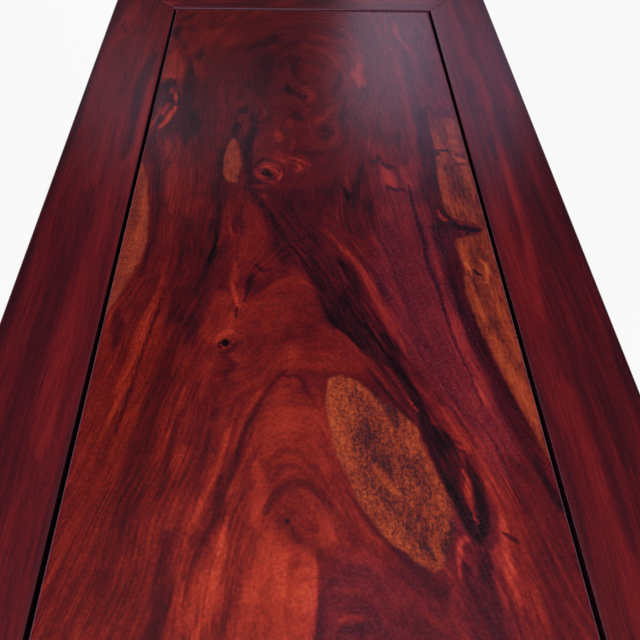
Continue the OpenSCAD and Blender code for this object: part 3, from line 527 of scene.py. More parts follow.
    (0.74, 0.8, 0.6, ((-36, 118.5, 0.8), (-29, 120, 1.6), (-24, 122.5, 2), (-19.5, 125.5, 1.8))),
    (0.10, 0.9, 0.6, ((-12, 112, 3), (-15, 124, 2.6), (-16, 134, 2.6), (-12, 143, 2.8), (-10, 151, 2))),
    (0.16, 0.8, 0.8, ((-8, 132, 3), (-5, 140, 3), (-7, 147, 2))),
    (0.08, 0.95, 0.6, ((-20, 124, 1.2), (-15, 132, 2.2), (-12, 141, 2.8), (-10, 149, 2.2), (-9, 155, 1))),
    (0.10, 0.9, 0.6, ((-36, 123.5, 0.9), (-28, 126, 1.1), (-20, 131, 1.4))),
    (0.12, 0.8, 0.7, ((-122, 129, 1.6), (-121, 136, 2.4), (-122, 141, 1.6))),
    # dark hatched band down to the resin pocket
    (0.30, 0.9, 6, ((-62, -34), (-30, -34), (10, -28), (34, -14), (40, 6), (36, 30), (14, 20), (-10, 10),
        (-40, 24), (-62, 24))),
    (0.22, 0.9, 4, ((-48, -44), (-34, -38), (-16, -33), (2, -30), (20, -30), (34, -22), (20, -14), (0, -22),
        (-24, -28))),
    (0.13, 0.95, 3, ((24, -4), (40, 0), (54, 4), (70, 8), (84, 10), (94, 15), (102, 22), (112, 32),
        (122, 40), (132, 47), (144, 55), (158, 61), (168, 66), (178, 74), (176, 80), (160, 77), (146, 73),
        (130, 70), (118, 66), (108, 60), (96, 56), (84, 49), (70, 44), (56, 41), (44, 40), (34, 36),
        (24, 26), (10, 14), (-4, 4))),
    (0.02, 0.8, 0.8, ((44, 12, 1.8), (56, 18, 2.6), (68, 26, 3.4), (80, 33, 4), (94, 38, 3.4), (108, 46, 3),
        (122, 54, 3))),
    (0.36, 0.7, 0.7, ((94, 46, 1.2), (110, 53, 1.4), (124, 58, 1.2))),
    (0.42, 0.8, 0.6, ((138, 60, 1.4), (150, 64, 2), (164, 69, 2.2), (175, 74, 1.6))),
    (0.03, 0.9, 0.6, ((128, 60, 2), (142, 66, 3), (156, 72, 3.4), (168, 76, 3.6), (177, 79, 3.6))),
    (0.66, 0.85, 0.6, ((100, 20, 1.4), (108, 27, 2.2), (120, 36, 2.4), (132, 45, 2.2), (144, 51, 1.8),
        (154, 55, 1.2))),
    (0.22, 0.8, 0.6, ((126, 34, 1), (138, 42, 1.4), (150, 50, 1.6), (162, 57, 1.6), (172, 63, 1.6),
        (180, 69, 1.2))),
    (0.86, 0.8, 0.5, ((150, 62.8, 0.3), (160, 67.6, 0.5), (168, 72, 0.5), (175, 76, 0.3))),
    # cathedral: smooth red ground with mottled brown at its left
    (0.62, 0.9, 5, ((34, -14), (42, -2), (56, 2), (72, 6), (88, 10), (100, 18), (112, 30), (124, 38),
        (136, 44), (142, 20), (136, -2), (132, -18), (140, -26), (152, -36), (146, -80), (110, -84),
        (76, -80), (60, -66), (68, -52), (58, -40), (46, -24))),
    (0.70, 0.8, 0.8, ((38, -12, 4), (48, -10, 7), (60, -8, 8))),
    (0.54, 0.6, 0.9, ((84, -34, 6), (100, -36, 10), (112, -30, 8), (104, -16, 6))),
    (0.50, 0.7, 0.9, ((104, 2, 5), (112, 8, 8), (116, 14, 5))),
    (0.72, 0.7, 0.9, ((118, -14, 6), (128, -8, 8), (134, 4, 8))),
    (0.50, 0.7, 0.9, ((142, -2, 4), (152, 2, 6), (166, 3, 4))),
    (0.76, 0.8, 0.8, ((62, -72, 4), (76, -72, 6), (92, -76, 7), (104, -72, 6))),
    (0.74, 0.8, 0.8, ((92, -62, 4), (102, -66, 5))),
    (0.52, 0.7, 0.9, ((106, -50, 6), (124, -46, 8), (140, -44, 6))),
    (0.40, 0.7, 0.8, ((40, -34, 3), (50, -36, 5), (58, -44, 4))),
    # flecks and the second knot
    (0.16, 0.9, 0.7, ((47, -50, 1.5), (55, -51.5, 2.6), (64, -53, 2.2), (72, -53, 1))),
    (0.72, 0.8, 0.7, ((30, -61, 1.2), (42, -62, 1.8), (54, -63, 2.6))),
    (0.92, 0.8, 0.65, ((53, -62.8, 0.8), (60, -62, 1.5), (68, -59.6, 1.6), (76, -57, 0.8))),
    (0.10, 0.8, 0.6, ((78, -58.5, 0.9), (82, -58.5, 1.3), (87, -58, 0.8))),
    (0.14, 0.8, 0.6, ((32, -45, 1.2), (35, -42, 1.8), (38, -39, 1.2), (36, -34, 0.8))),
    (0.40, 0.8, 0.7, ((30, -51, 0.8), (35, -52, 1), (40, -50, 0.8))),
    (0.88, 0.9, 0.6, ((101, -60.5, 1.2), (101, -64.5, 1.8), (103.5, -68, 2.2), (107.5, -70, 2),
        (112, -70.5, 1))),
    (0.20, 0.8, 0.7, ((116, -68, 1.6), (118, -62, 2), (117, -56, 1.6))),
    (-0.1, 1.0, 0.5, ((109.5, -65, 2.2), (111.5, -64, 2.5))),
    (1.25, 0.8, 0.5, ((113.5, -68, 0.4), (116, -66, 0.6), (116.6, -63.5, 0.6), (115, -61, 0.4))),
    (0.36, 0.7, 0.9, ((120, -64, 2.5), (134, -62, 3), (148, -66, 2.5))),
    # left of the arch, near the viewer: red and maroon streaks that fan out
    (0.55, 0.9, 8, ((70, -122), (80, -162), (420, -180), (420, -96), (320, -84), (250, -78), (220, -66),
        (190, -56), (150, -40), (146, -80), (110, -86), (90, -112))),
    (0.72, 0.75, 0.95, ((44, -119, 1.6), (58, -120.5, 2), (72, -124, 2.4), (86, -127.5, 2.8),
        (104, -131, 3.2), (122, -132.5, 3.2), (140, -135, 3), (158, -138, 2.6), (176, -140, 2))),
    (0.16, 0.75, 0.6, ((58, -117.5, 0.7), (74, -119, 0.9), (90, -121, 1), (104, -124, 1), (120, -126, 1),
        (138, -128, 1), (156, -131, 1), (174, -132.5, 0.9), (188, -135, 0.6))),
    (0.28, 0.8, 0.9, ((78, -150, 3), (92, -147, 4), (106, -146, 3))),
    (0.62, 0.7, 0.9, ((100, -118, 3), (124, -118, 4), (146, -122, 4), (170, -126, 4), (200, -130, 4))),
    (0.34, 0.8, 0.9, ((104, -104, 5), (134, -108, 6), (160, -113, 6), (196, -114, 7), (230, -118, 6),
        (262, -120, 6))),
    (0.66, 0.7, 0.8, ((152, -92, 1), (162, -95, 1.6), (176, -98.5, 2), (192, -102, 2), (212, -104, 1.8))),
    (0.72, 0.7, 0.8, ((132, -78, 1.6), (144, -77.5, 3), (156, -78.5, 2.4))),
    (0.34, 0.7, 0.8, ((150, -84, 1.6), (166, -88, 2), (184, -93, 2), (204, -97, 2), (236, -100, 2.4))),
    (0.66, 0.7, 0.8, ((196, -86, 2), (212, -90, 3), (236, -94, 3.4), (252, -96, 3))),
    (0.36, 0.7, 0.8, ((176, -68, 2), (196, -72, 2.4), (216, -76, 2.4), (238, -80, 2.4), (262, -86, 2.6))),
    (0.60, 0.7, 0.8, ((170, -60, 2), (186, -64, 2), (190, -76, 3), (214, -82, 3))),
    (0.30, 0.7, 0.8, ((222, -62, 2.4), (234, -61, 3.4), (248, -60, 3.4), (262, -66, 3), (276, -70, 2),
        (292, -73, 1.6))),
    (0.54, 0.8, 12, ((252, -80), (262, -130), (330, -140), (330, -86), (300, -84))),
    (0.26, 0.7, 0.9, ((262, -92, 3), (280, -92, 4), (298, -88, 3.4), (312, -92, 5), (340, -98, 6))),
    (0.80, 0.75, 0.65, ((184, -57.5, 1), (192, -59.5, 1.8), (204, -62, 2), (216, -65.5, 2.2),
        (228, -69.5, 2), (240, -73, 1.8), (252, -77, 1.4), (266, -79, 1))),
    (0.74, 0.85, 4, ((246, -56), (256, -48), (272, -47), (300, -51), (330, -58), (420, -72), (420, -106),
        (330, -84), (300, -74), (280, -72), (262, -66))),
    (0.98, 0.85, 0.65, ((246, -54, 1), (256, -56.5, 2), (264, -57.5, 2.6), (272, -58, 3.4),
        (282, -58.5, 3.6), (294, -59, 3.8), (306, -61, 4), (322, -66, 5), (360, -76, 6), (411, -86, 6))),
    (0.72, 0.8, 0.65, ((286, -79, 1.6), (296, -80, 3), (306, -81, 4), (330, -85, 6), (411, -104, 9))),
    # arch, what lies inside it, and the pin knot
    (0.52, 0.7, 5, ((134, -17), (142, -16), (152, -8), (164, 0), (180, 8), (200, 14), (226, 20), (236, 30),
        (214, 22), (190, 14), (170, 12), (152, 10), (140, 0))),
    (0.68, 0.9, 4, ((138, -17), (150, -24), (164, -34), (182, -41), (204, -48), (228, -55), (250, -54),
        (262, -48), (420, -40), (420, 0), (300, 4), (262, 20), (236, 16), (206, 8), (180, 2), (160, -5),
        (148, -11))),
    (0.78, 0.6, 0.9, ((160, -20, 5), (176, -22, 8), (194, -24, 9))),
    (0.54, 0.7, 0.8, ((222, -32, 1.6), (208, -28, 2), (202, -20, 2.4), (203, -10, 2.4), (212, 0, 2),
        (226, 8, 1.6))),
    (0.50, 0.7, 0.8, ((226, -30, 1.2), (216, -24, 1.6), (213, -16, 1.8), (216, -6, 1.8), (228, 4, 1.4))),
    (0.42, 0.75, 0.8, ((242, -28, 2), (231, -24, 3), (224, -14, 3.2), (225, -4, 3), (236, 6, 3),
        (250, 16, 2))),
    (0.50, 0.7, 0.8, ((244, -6, 3), (244, 4, 3), (252, 14, 2.6), (266, 19, 2))),
    (0.60, 0.6, 0.9, ((244, -24, 4), (254, -18, 5), (258, -8, 4))),
    (0.84, 0.8, 0.8, ((206, -36, 1.6), (222, -35, 2.4), (238, -36, 4), (252, -37, 4.5))),
    (0.28, 0.8, 0.65, ((136.5, -18, 0.8), (141, -22.5, 1), (150, -29.5, 1.1), (160, -34.5, 1.1),
        (170, -39, 1.2), (180, -43.5, 1.4), (190, -47, 1.5), (200, -50, 1.4), (210, -52, 1.3),
        (220, -55, 1.2), (228, -59, 1.2), (242, -66, 1))),
    (0.16, 0.6, 0.6, ((172, -40.5, 0.5), (182, -45, 0.8), (190, -48, 0.9), (200, -51, 0.8),
        (208, -52.5, 0.5))),
    (0.30, 0.7, 0.8, ((136.5, -18, 0.8), (142, -12.5, 1.2), (150, -7, 1.4), (160, -1, 1.4), (172, 5, 1.2))),
    (0.02, 0.9, 0.5, ((248.8, -18, 0.9), (250.6, -18, 1.0))),
    (0.42, 0.6, 0.9, ((254, -20, 2), (258, -17, 3))),
    # bright ground with one sharp side, and the dark arcs to its right
    (0.94, 0.9, 9, ((266, -36), (276, -38), (290, -41), (302, -45), (314, -50), (420, -68), (420, 6),
        (316, 4), (306, 4), (292, 4), (278, 4), (268, -2), (262, -16), (262, -28))),
    (0.62, 0.6, 0.9, ((262, -38, 1), (274, -39, 1.4), (290, -41, 1.4))),
    (0.74, 0.6, 0.9, ((268, -14, 1.2), (282, -16, 1.8), (296, -16, 1.6), (312, -18, 1.4))),
    (0.76, 0.6, 0.9, ((292, -26, 1.2), (303, -30, 1.8), (312, -32, 1.4))),
    (0.66, 0.6, 0.9, ((262, -45, 1.4), (274, -46, 1.8), (290, -48, 2), (304, -55, 3), (330, -64, 3))),
    (0.52, 0.95, 1.3, ((268, 0.5), (280, 0.5), (296, 1), (310, 0), (322, -4), (420, 2), (420, 60),
        (330, 66), (296, 60), (280, 46), (268, 30), (262, 10))),
    (0.34, 0.7, 0.7, ((280, 4, 1.4), (296, 4.5, 2.2), (310, 4, 2.6), (324, 2, 2.6))),
    (0.44, 0.7, 0.8, ((274, 10, 3), (278, 22, 3.4), (288, 34, 3.4), (300, 46, 3.4), (312, 58, 3.4))),
    (0.62, 0.7, 0.8, ((268, 14, 2), (270, 26, 3), (280, 40, 3), (292, 52, 3), (304, 66, 3))),
    (0.56, 0.7, 0.8, ((288, 14, 2), (292, 26, 2.4), (300, 36, 2.4), (312, 46, 2.4))),
    (0.40, 0.7, 0.8, ((296, 10, 2.4), (298, 22, 2.4), (306, 32, 2.4), (316, 40, 2.4))),
    (0.72, 0.85, 0.7, ((305, 16, 1.6), (306, 22, 2.4), (309, 28, 1.8))),
    (0.34, 0.8, 0.7, ((312, 14, 2), (312, 24, 2.4), (318, 32, 2.4))),
    (0.26, 0.8, 0.7, ((232, 22, 1), (244, 29, 1.4), (254, 35, 1.8), (263, 43, 2.2), (272, 52, 2.6),
        (280, 61, 3), (288, 70, 3.2), (300, 80, 3))),
    (0.62, 0.8, 0.8, ((284, 76, 2), (296, 78, 4), (310, 80, 4))),
    # right of the pocket, near the viewer
    (0.68, 0.85, 5, ((176, 90), (190, 100), (206, 108), (230, 114), (258, 112), (300, 112), (330, 116),
        (330, 132), (270, 134), (234, 132), (206, 130), (186, 118), (168, 98))),
    (0.76, 0.8, 0.7, ((158, 86, 1.4), (168, 92, 2.4), (180, 97, 2.6), (192, 101, 2.6), (206, 106, 2.6))),
    (0.36, 0.7, 0.7, ((140, 76, 1.6), (152, 82, 2), (164, 90, 1.4), (176, 100, 1.2), (196, 110, 1.2),
        (220, 116, 1.4))),
    (0.30, 0.7, 0.7, ((190, 121, 1.2), (206, 126, 1.4), (222, 130, 1.6), (238, 134, 1.6))),
    (0.72, 0.7, 0.8, ((206, 113, 2), (222, 116, 3), (238, 116, 3))),
    # resin pocket: a black lens with a red streak inside, and the loop of grain round its near tip
    (0.06, 0.97, 1.4, ((173, 75), (182, 74), (192, 75.5), (204, 78.5), (216, 82), (228, 85.5), (240, 89),
        (250, 92.5), (258, 95.5), (264, 99), (267, 101), (264, 105), (256, 109), (246, 111), (234, 110.5),
        (222, 108), (212, 104), (202, 100), (195, 96), (189, 91), (184, 86), (178, 82))),
    (0.40, 0.9, 0.6, ((177, 83.5, 1.4), (181, 84, 1.6))),
    (0.60, 0.8, 0.8, ((194, 97, 1.6), (202, 99, 2.6), (208, 99, 2.6))),
    (0.80, 0.9, 0.7, ((210, 95, 1.4), (218, 97, 2.8), (226, 97.5, 2.6), (234, 99, 1.8), (242, 101, 1))),
    (0.18, 0.7, 0.6, ((195, 94, 0.8), (199, 102, 0.8))),
    (0.18, 0.7, 0.6, ((201, 94, 0.8), (205, 103, 0.8))),
    (0.24, 0.7, 0.7, ((200, 90, 2.4), (214, 94, 2), (226, 94, 1.4), (240, 96, 1.2))),
    (0.98, 0.8, 0.5, ((248, 101, 0.9), (252, 103, 1.1))),
    (0.84, 0.9, 0.6, ((263, 95, 1.2), (262, 91.5, 1.7), (266, 88.5, 1.8), (274, 87, 1.7), (284, 86, 1.4))),
    (0.56, 0.8, 0.7, ((268, 94, 2), (274, 94.5, 2))),
    (0.24, 0.85, 0.7, ((268, 103, 3), (282, 101, 4), (298, 100, 4), (316, 104, 4), (340, 108, 5))),
    (0.18, 0.85, 0.7, ((276, 90, 1.8), (288, 92, 2.6), (300, 96, 3), (314, 101, 3.4))),
    (0.72, 0.8, 0.3, ((268, 102.5, 0.3), (280, 104, 0.45), (292, 103.5, 0.3))),
    (0.70, 0.8, 0.7, ((272, 109, 1.2), (284, 108, 1.6), (298, 109, 1.4))),
    (0.90, 0.9, 0.7, ((250, 118, 1.6), (266, 117, 3.4), (276, 117.5, 3.4), (290, 118.5, 2.6),
        (308, 120, 3))),
    (0.80, 0.8, 0.8, ((266, 111, 2), (274, 112, 2.6), (282, 113, 2))),
    (0.24, 0.8, 0.6, ((260, 118, 0.9), (263, 122, 1.3), (266, 125, 1.1))),
    # the near end, beyond the photo
    (0.56, 0.8, 14, ((330, -180), (330, -96), (420, -110), (420, -180))),
    (0.48, 0.8, 14, ((322, 66), (322, 170), (420, 170), (420, 66))),
)

# Broad soft changes of tone, added: amount, softness in mm, outline.
CLOUDS = (
    (0.06, 8, ((-402, 10), (-372, 30), (-372, 72), (-402, 62))),
    (-0.05, 12, ((-395, -100), (-395, 10), (-365, 10), (-350, -60), (-360, -110))),
    (-0.06, 12, ((-335, -45), (-335, 15), (-300, 25), (-230, 20), (-230, -80), (-290, -80), (-305, -40))),
    (0.06, 8, ((-345, 35), (-345, 60), (-240, 62), (-240, 36))),
    (-0.08, 6, ((-342, 125), (-342, 155), (-312, 155), (-312, 125))),
    (0.15, 5, ((-256, -158), (-256, -146), (-238, -146), (-238, -158))),
    (-0.08, 5, ((-240, -118), (-240, -100), (-160, -96), (-75, -96), (-65, -112), (-120, -120))),
    (-0.09, 5, ((-240, -62), (-240, -42), (-190, -40), (-190, -55))),
    (-0.10, 4, ((-170, -72), (-170, -60), (-125, -60), (-112, -62), (-132, -68), (-150, -74))),
    (0.09, 7, ((-135, 60), (-135, 100), (-95, 110), (-88, 90), (-110, 66))),
    (0.12, 5, ((-98, 98), (-98, 116), (-60, 112), (-60, 98))),
    (-0.12, 6, ((-80, 36), (-80, 60), (-40, 62), (-30, 50), (-55, 35))),
    (-0.06, 6, ((-15, 60), (-15, 80), (20, 85), (20, 66))),
    (0.12, 4, ((-62, 113), (-62, 124), (-20, 124), (-20, 113))),
    (0.14, 5, ((0, -4), (0, 14), (30, 24), (50, 34), (56, 20), (30, 4))),
    (-0.11, 7, ((10, -90), (10, -70), (60, -64), (100, -70), (110, -84), (60, -92))),
    (-0.07, 6, ((10, -40), (10, -14), (40, -6), (44, -30))),
    (-0.08, 5, ((45, -14), (50, 4), (100, 14), (104, 0), (90, -14))),
    (0.06, 8, ((70, -56), (70, -30), (105, -30), (105, -56))),
    (-0.08, 6, ((114, -80), (114, -60), (142, -60), (142, -80))),
    (0.08, 5, ((140, -32), (150, -56), (200, -66), (200, -54), (168, -42), (150, -32))),
    (0.16, 4, ((160, -2), (170, 8), (190, 13), (215, 20), (250, 34), (262, 42), (262, 30), (240, 20),
        (215, 8), (185, 0))),
    (-0.06, 6, ((205, -48), (205, -34), (235, -34), (235, -48))),
    (0.10, 5, ((262, 4), (238, 8), (232, 16), (256, 34), (276, 48), (282, 34), (272, 14))),
    (0.10, 6, ((234, -4), (242, 12), (262, 16), (262, 2), (250, -6))),
    (0.12, 6, ((62, 30), (74, 44), (108, 64), (112, 54), (84, 38))),
    (-0.12, 6, ((-12, 92), (-12, 106), (12, 108), (12, 92))),
    (-0.08, 7, ((-65, -128), (-65, -92), (15, -86), (15, -112))),
    (-0.08, 6, ((-74, 20), (-66, 36), (-40, 48), (-30, 36), (-50, 20))),
    (-0.10, 5, ((55, 114), (62, 122), (92, 122), (92, 112))),
    (0.10, 5, ((-30, 118), (-12, 126), (50, 128), (110, 134), (110, 126), (50, 116))),
    (0.12, 4, ((150, -36), (170, -46), (200, -57), (232, -66), (232, -60), (200, -53), (170, -43),
        (152, -33))),
    (0.14, 5, ((110, 128), (110, 136), (190, 152), (210, 154), (190, 138), (150, 130))),
    (-0.08, 6, ((52, -56), (52, -40), (72, -40), (72, -56))),
    (-0.10, 6, ((120, -4), (128, 8), (134, 4), (130, -8))),
    (-0.10, 5, ((306, -44), (306, 6), (330, 6), (330, -50))),
    (-0.08, 5, ((290, 18), (312, 24), (318, 60), (300, 50))),
    (0.14, 5, ((284, 92), (284, 108), (316, 112), (316, 94))),
    (0.10, 6, ((236, -92), (236, -64), (262, -66), (262, -96))),
    (-0.07, 6, ((130, -106), (130, -92), (190, -98), (190, -110))),
    (0.10, 5, ((-4, 122), (-4, 131), (60, 134), (60, 125))),
    (-0.10, 4, ((48, 108), (48, 120), (84, 122), (84, 110))),
    (-0.08, 5, ((-48, 40), (-48, 62), (-10, 60), (-10, 42))),
    (-0.06, 5, ((10, 58), (10, 72), (40, 78), (70, 84), (70, 70), (40, 64))),
    (-0.07, 6, ((92, -20), (92, 4), (112, 6), (112, -20))),
    (-0.05, 8, ((-300, -60), (-300, -5), (-215, -5), (-215, -60))),
    (-0.08, 5, ((-190, -76), (-190, -50), (-170, -50), (-165, -70))),
    (-0.10, 4, ((-150, -80), (-150, -62), (-105, -60), (-105, -82))),
    (-0.10, 6, ((-84, -104), (-84, -84), (-55, -84), (-55, -104))),
    (-0.08, 5, ((-165, -158), (-165, -136), (-132, -132), (-132, -156))),
    (-0.05, 12, ((-240, -118), (-240, -82), (-60, -78), (-60, -122))),
    (-0.05, 6, ((-238, -146), (-238, -128), (-200, -128), (-200, -146))),
    (0.12, 4, ((196, 88), (202, 102), (224, 104), (228, 92), (212, 84))),
    (0.15, 5, ((284, -78), (284, -62), (318, -64), (318, -82))),
    (-0.08, 4, ((-18, 112), (-18, 130), (-14, 150), (-8, 150), (-4, 130), (-4, 112))),
    (0.10, 5, ((-112, 112), (-112, 123), (-92, 123), (-92, 112))),
    (0.10, 5, ((-110, -36), (-110, -18), (-90, -18), (-90, -36))),
    (0.08, 4, ((172, -16), (172, -2), (190, -2), (190, -16))),
    (0.08, 4, ((240, 82), (240, 91), (270, 91), (270, 82))),
    (-0.06, 5, ((256, -32), (256, -14), (280, -10), (290, 4), (292, -10), (270, -24))),
    (0.08, 6, ((255, -104), (255, -88), (320, -92), (320, -106))),
    (0.08, 6, ((80, 98), (80, 116), (170, 134), (170, 112))),
    (0.10, 5, ((150, 0), (164, 8), (190, 16), (212, 24), (206, 12), (180, 2))),
    (-0.10, 5, ((255, -28), (255, -14), (272, -14), (272, -28))),
    (0.08, 6, ((282, 10), (282, 40), (310, 50), (310, 10))),
    (0.08, 6, ((190, 96), (200, 104), (240, 118), (240, 128), (200, 120))),
    (-0.07, 6, ((268, 112), (268, 126), (320, 128), (320, 112))),
    (0.08, 5, ((290, 60), (290, 74), (315, 76), (315, 64))),
    (-0.09, 8, ((262, -130), (262, -112), (300, -112), (300, -135))),
    (0.07, 8, ((150, 110), (150, 122), (200, 132), (200, 120))),
)

# How strongly the fine streaks show, laid over 1 in the same way: weak where the board is cut
# smooth across the rings, strong in the dark hatched band.
STREAKY = (
    (0.60, 1.0, 20, ((-425, -175), (-425, 60), (-200, 60), (-200, -110), (-290, -130), (-300, -175))),
    (0.50, 1.0, 12, ((-200, -40), (-200, 40), (-60, 34), (-30, 10), (-40, -34), (-120, -46))),
    (0.70, 1.0, 10, ((-20, 70), (-20, 98), (90, 104), (90, 74))),
    (0.30, 1.0, 8, ((34, -16), (60, 8), (100, 22), (140, 50), (150, 30), (240, 40), (285, 75), (330, 80),
        (330, -50), (250, -46), (150, -26), (140, -70), (70, -64), (52, -34))),
    (0.45, 1.0, 6, ((-52, -60), (-30, -40), (10, -34), (36, -50), (20, -66), (-30, -66))),
    (0.35, 1.0, 5, ((-90, -56), (-60, -50), (-40, -30), (0, -24), (34, -8), (50, 0), (46, 16), (0, 10),
        (-44, -6), (-80, -12))),
    (0.45, 1.0, 8, ((20, -84), (20, -56), (60, -46), (140, -52), (140, -84))),
    (1.20, 1.0, 4, ((-114, -50), (-118, 4), (-86, 0), (-68, -24), (-68, -48), (-86, -52))),
    (0.25, 1.0, 4, ((-68, -58), (-68, -12), (-50, -12), (-50, -58))),
    (0.55, 1.0, 8, ((110, -84), (110, -50), (136, -24), (160, -40), (190, -58), (190, -84))),
)

# The hue of the heartwood, laid over in the same way: 0 is orange brown, 1 is crimson.
TINT = (
    (0.15, 1.0, 25, ((-425, -175), (-425, -20), (-330, -60), (-150, -60), (-60, -60), (100, -90),
        (420, -80), (420, -175))),
    (0.00, 1.0, 15, ((100, -160), (100, -50), (240, -60), (240, -150))),
    (0.90, 0.9, 4, ((-20, 108), (-16, 150), (-8, 150), (0, 128), (30, 124), (30, 108))),
    (0.25, 1.0, 20, ((-60, -60), (40, -10), (140, 40), (180, 10), (420, -20), (420, -90), (100, -90))),
    (0.95, 1.0, 12, ((-100, 60), (-40, 66), (40, 48), (110, 66), (180, 100), (230, 124), (200, 140),
        (100, 126), (0, 112), (-100, 112))),
    (0.85, 1.0, 8, ((268, 0), (330, -4), (330, 66), (296, 60), (276, 40), (264, 14))),
    (0.75, 1.0, 12, ((236, 40), (236, 116), (330, 120), (330, 50))),
    (0.70, 1.0, 20, ((-425, 40), (-200, 40), (-100, 50), (-100, 120), (-200, 170), (-425, 170))),
)


def smooth_step(low, high, value):
    """A soft step from 0 at low to 1 at high."""
    t = np.clip((value - low) / (high - low), 0, 1)
    return t * t * (3 - 2 * t)


def growth_level(x, y):
    """The growth level at each point: a thin plate through the growth lines."""
    points = np.array([p for _, line in GROWTH for p in line], float) / 100
    levels = np.array([level for level, line in GROWTH for _ in line], float)
    slack = 0.004

    def pull(ax, ay, bx, by):
        r2 = (ax[:, None] - bx) ** 2 + (ay[:, None] - by) ** 2
        return r2 * np.log(r2 + 1e-9)

    n = len(points)
    system = np.zeros((n + 3, n + 3))
    system[:n, :n] = pull(points[:, 0], points[:, 1], points[:, 0], points[:, 1]) + np.eye(n) * slack
    flat = np.column_stack((np.ones(n), points))
    system[:n, n:] = flat
    system[n:, :n] = flat.T
    weights = np.linalg.solve(system, np.concatenate((levels, np.zeros(3))))
    return (pull(x / 100, y / 100, points[:, 0], points[:, 1]) @ weights[:n]
            + weights[n] + weights[n + 1] * x / 100 + weights[n + 2] * y / 100)


def cover_of(line, soft, x, y):
    """How far each point lies under a line of points with half widths: 1 inside, 0 outside."""
    cover = np.zeros(len(x))
    for (ax, ay, aw), (bx, by, bw) in zip(line[:-1], line[1:]):
        dx, dy = bx - ax, by - ay
        t = np.clip(((x - ax) * dx + (y - ay) * dy) / (dx * dx + dy * dy), 0, 1)
        wide = aw + (bw - aw) * t
        far = np.hypot(x - ax - dx * t, y - ay - dy * t) / wide
        cover = np.maximum(cover, 1 - smooth_step(1 - 0.6 * soft, 1 + 0.9 * soft, far))
    return cover


def inside_by(outline, x, y):
    """The distance in mm from each point to an outline: positive inside, negative outside."""
    nearest = np.full(len(x), 1e9)
    inside = np.zeros(len(x), bool)
    for (ax, ay), (bx, by) in zip(outline, outline[1:] + outline[:1]):
        dx, dy = bx - ax, by - ay
        t = np.clip(((x - ax) * dx + (y - ay) * dy) / (dx * dx + dy * dy), 0, 1)
        nearest = np.minimum(nearest, np.hypot(x - ax - dx * t, y - ay - dy * t))
        crosses = (ay > y) != (by > y)
        if dy:
            inside ^= crosses & (x < ax + dx * (y - ay) / dy)
    return np.where(inside, nearest, -nearest)


def cloud(u, v, seed):
    """Smooth noise from -1 to 1 with one bump to the unit."""
    size = 64
    lattice = np.random.default_rng(seed).uniform(-1, 1, (size, size))
    i, j = np.floor(u).astype(int), np.floor(v).astype(int)
    s, t = smooth_step(0, 1, u - i), smooth_step(0, 1, v - j)
    a, b = lattice[i % size, j % size], lattice[(i + 1) % size, j % size]
    c, d = lattice[i % size, (j + 1) % size], lattice[(i + 1) % size, (j + 1) % size]
    return (a * (1 - s) + b * s) * (1 - t) + (c * (1 - s) + d * s) * t


def laid(ground, shapes, loose, tight):
    """The ground with lines and areas laid over it in turn.

    The crisp ones keep their place, and the soft ones feather out along the fibre."""
    for target, full, soft, shape in shapes:
        is_line = len(shape[0]) == 3
        x, y = loose if soft > (FEATHERED_LINE if is_line else FEATHERED_AREA) else tight
        reach = max(p[2] for p in shape) * (1 + 0.9 * soft) if is_line else soft
        xs, ys = [p[0] for p in shape], [p[1] for p in shape]
        near = ((x > min(xs) - reach) & (x < max(xs) + reach)
                & (y > min(ys) - reach) & (y < max(ys) + reach))
        x, y = x[near], y[near]
        share = cover_of(shape, soft, x, y) if is_line else smooth_step(-soft, soft, inside_by(shape, x, y))
        ground[near] += (target - ground[near]) * share * full
    return ground


def merged(node):
    """A copy of a CAD piece's mesh, with its doubles merged and each flat face whole."""
    shape = bmesh.new()
    shape.from_mesh(nodes[node].data)
    bmesh.ops.remove_doubles(shape, verts=shape.verts, dist=1e-6)
    bmesh.ops.dissolve_limit(shape, angle_limit=0.01, verts=shape.verts, edges=shape.edges)
    return shape


def smoothed(mesh):
    """Shades a mesh smooth, but for its sharp arrises."""
    mesh.shade_smooth()
    mesh.set_sharp_from_angle(angle=SHARP)


def points_of(mesh):
    """The places of a mesh's points, in mm."""
    places = np.empty(len(mesh.vertices) * 3)
    mesh.vertices.foreach_get("co", places)
    return places.reshape(-1, 3) / MM


def store(mesh, **values):
    """Stores numbers for each point of a mesh, by name, for its material to read."""
    for name, numbers in values.items():
        layer = mesh.attributes.new(name, "FLOAT", "POINT")
        layer.data.foreach_set("value", numbers.astype(np.float32))


# the board's tongue and underside are the CAD piece's own; its field is made anew, as a fine grid
# with a rounded arris and a wall down to the tongue
board = merged("top_panel")
above = [f for f in board.faces if min(v.co.z for v in f.verts) > (TONGUE_TOP - 0.01) * MM]
bmesh.ops.delete(board, geom=above, context="FACES")
corners = {(v.co.x > 0, v.co.y > 0): v for e in board.edges if len(e.link_faces) == 1 for v in e.verts}
grid_x = np.concatenate([np.linspace(a, b, round((b - a) / step), endpoint=False)
                         for (a, step), (b, _) in zip(GRID_ALONG[:-1], GRID_ALONG[1:])]
                        + [[FIELD_X - ARRIS]])
columns = len(grid_x) - 1
rows = round(2 * (FIELD_Y - ARRIS) / GRID_ACROSS)
grid_y = np.linspace(-FIELD_Y + ARRIS, FIELD_Y - ARRIS, rows + 1)
grid = [[board.verts.new((x * MM, y * MM, PANEL_TOP * MM)) for y in grid_y] for x in grid_x]
for i in range(columns):
    for j in range(rows):
        board.faces.new((grid[i][j], grid[i + 1][j], grid[i + 1][j + 1], grid[i][j + 1]))
rim = ([grid[i][0] for i in range(columns)] + [grid[columns][j] for j in range(rows)]
       + [grid[i][rows] for i in range(columns, 0, -1)] + [grid[0][j] for j in range(rows, 0, -1)])
edges = [(ARRIS * math.sin(turn), ARRIS * (1 - math.cos(turn))) for turn in map(math.radians, (30, 60, 90))]
last = rim
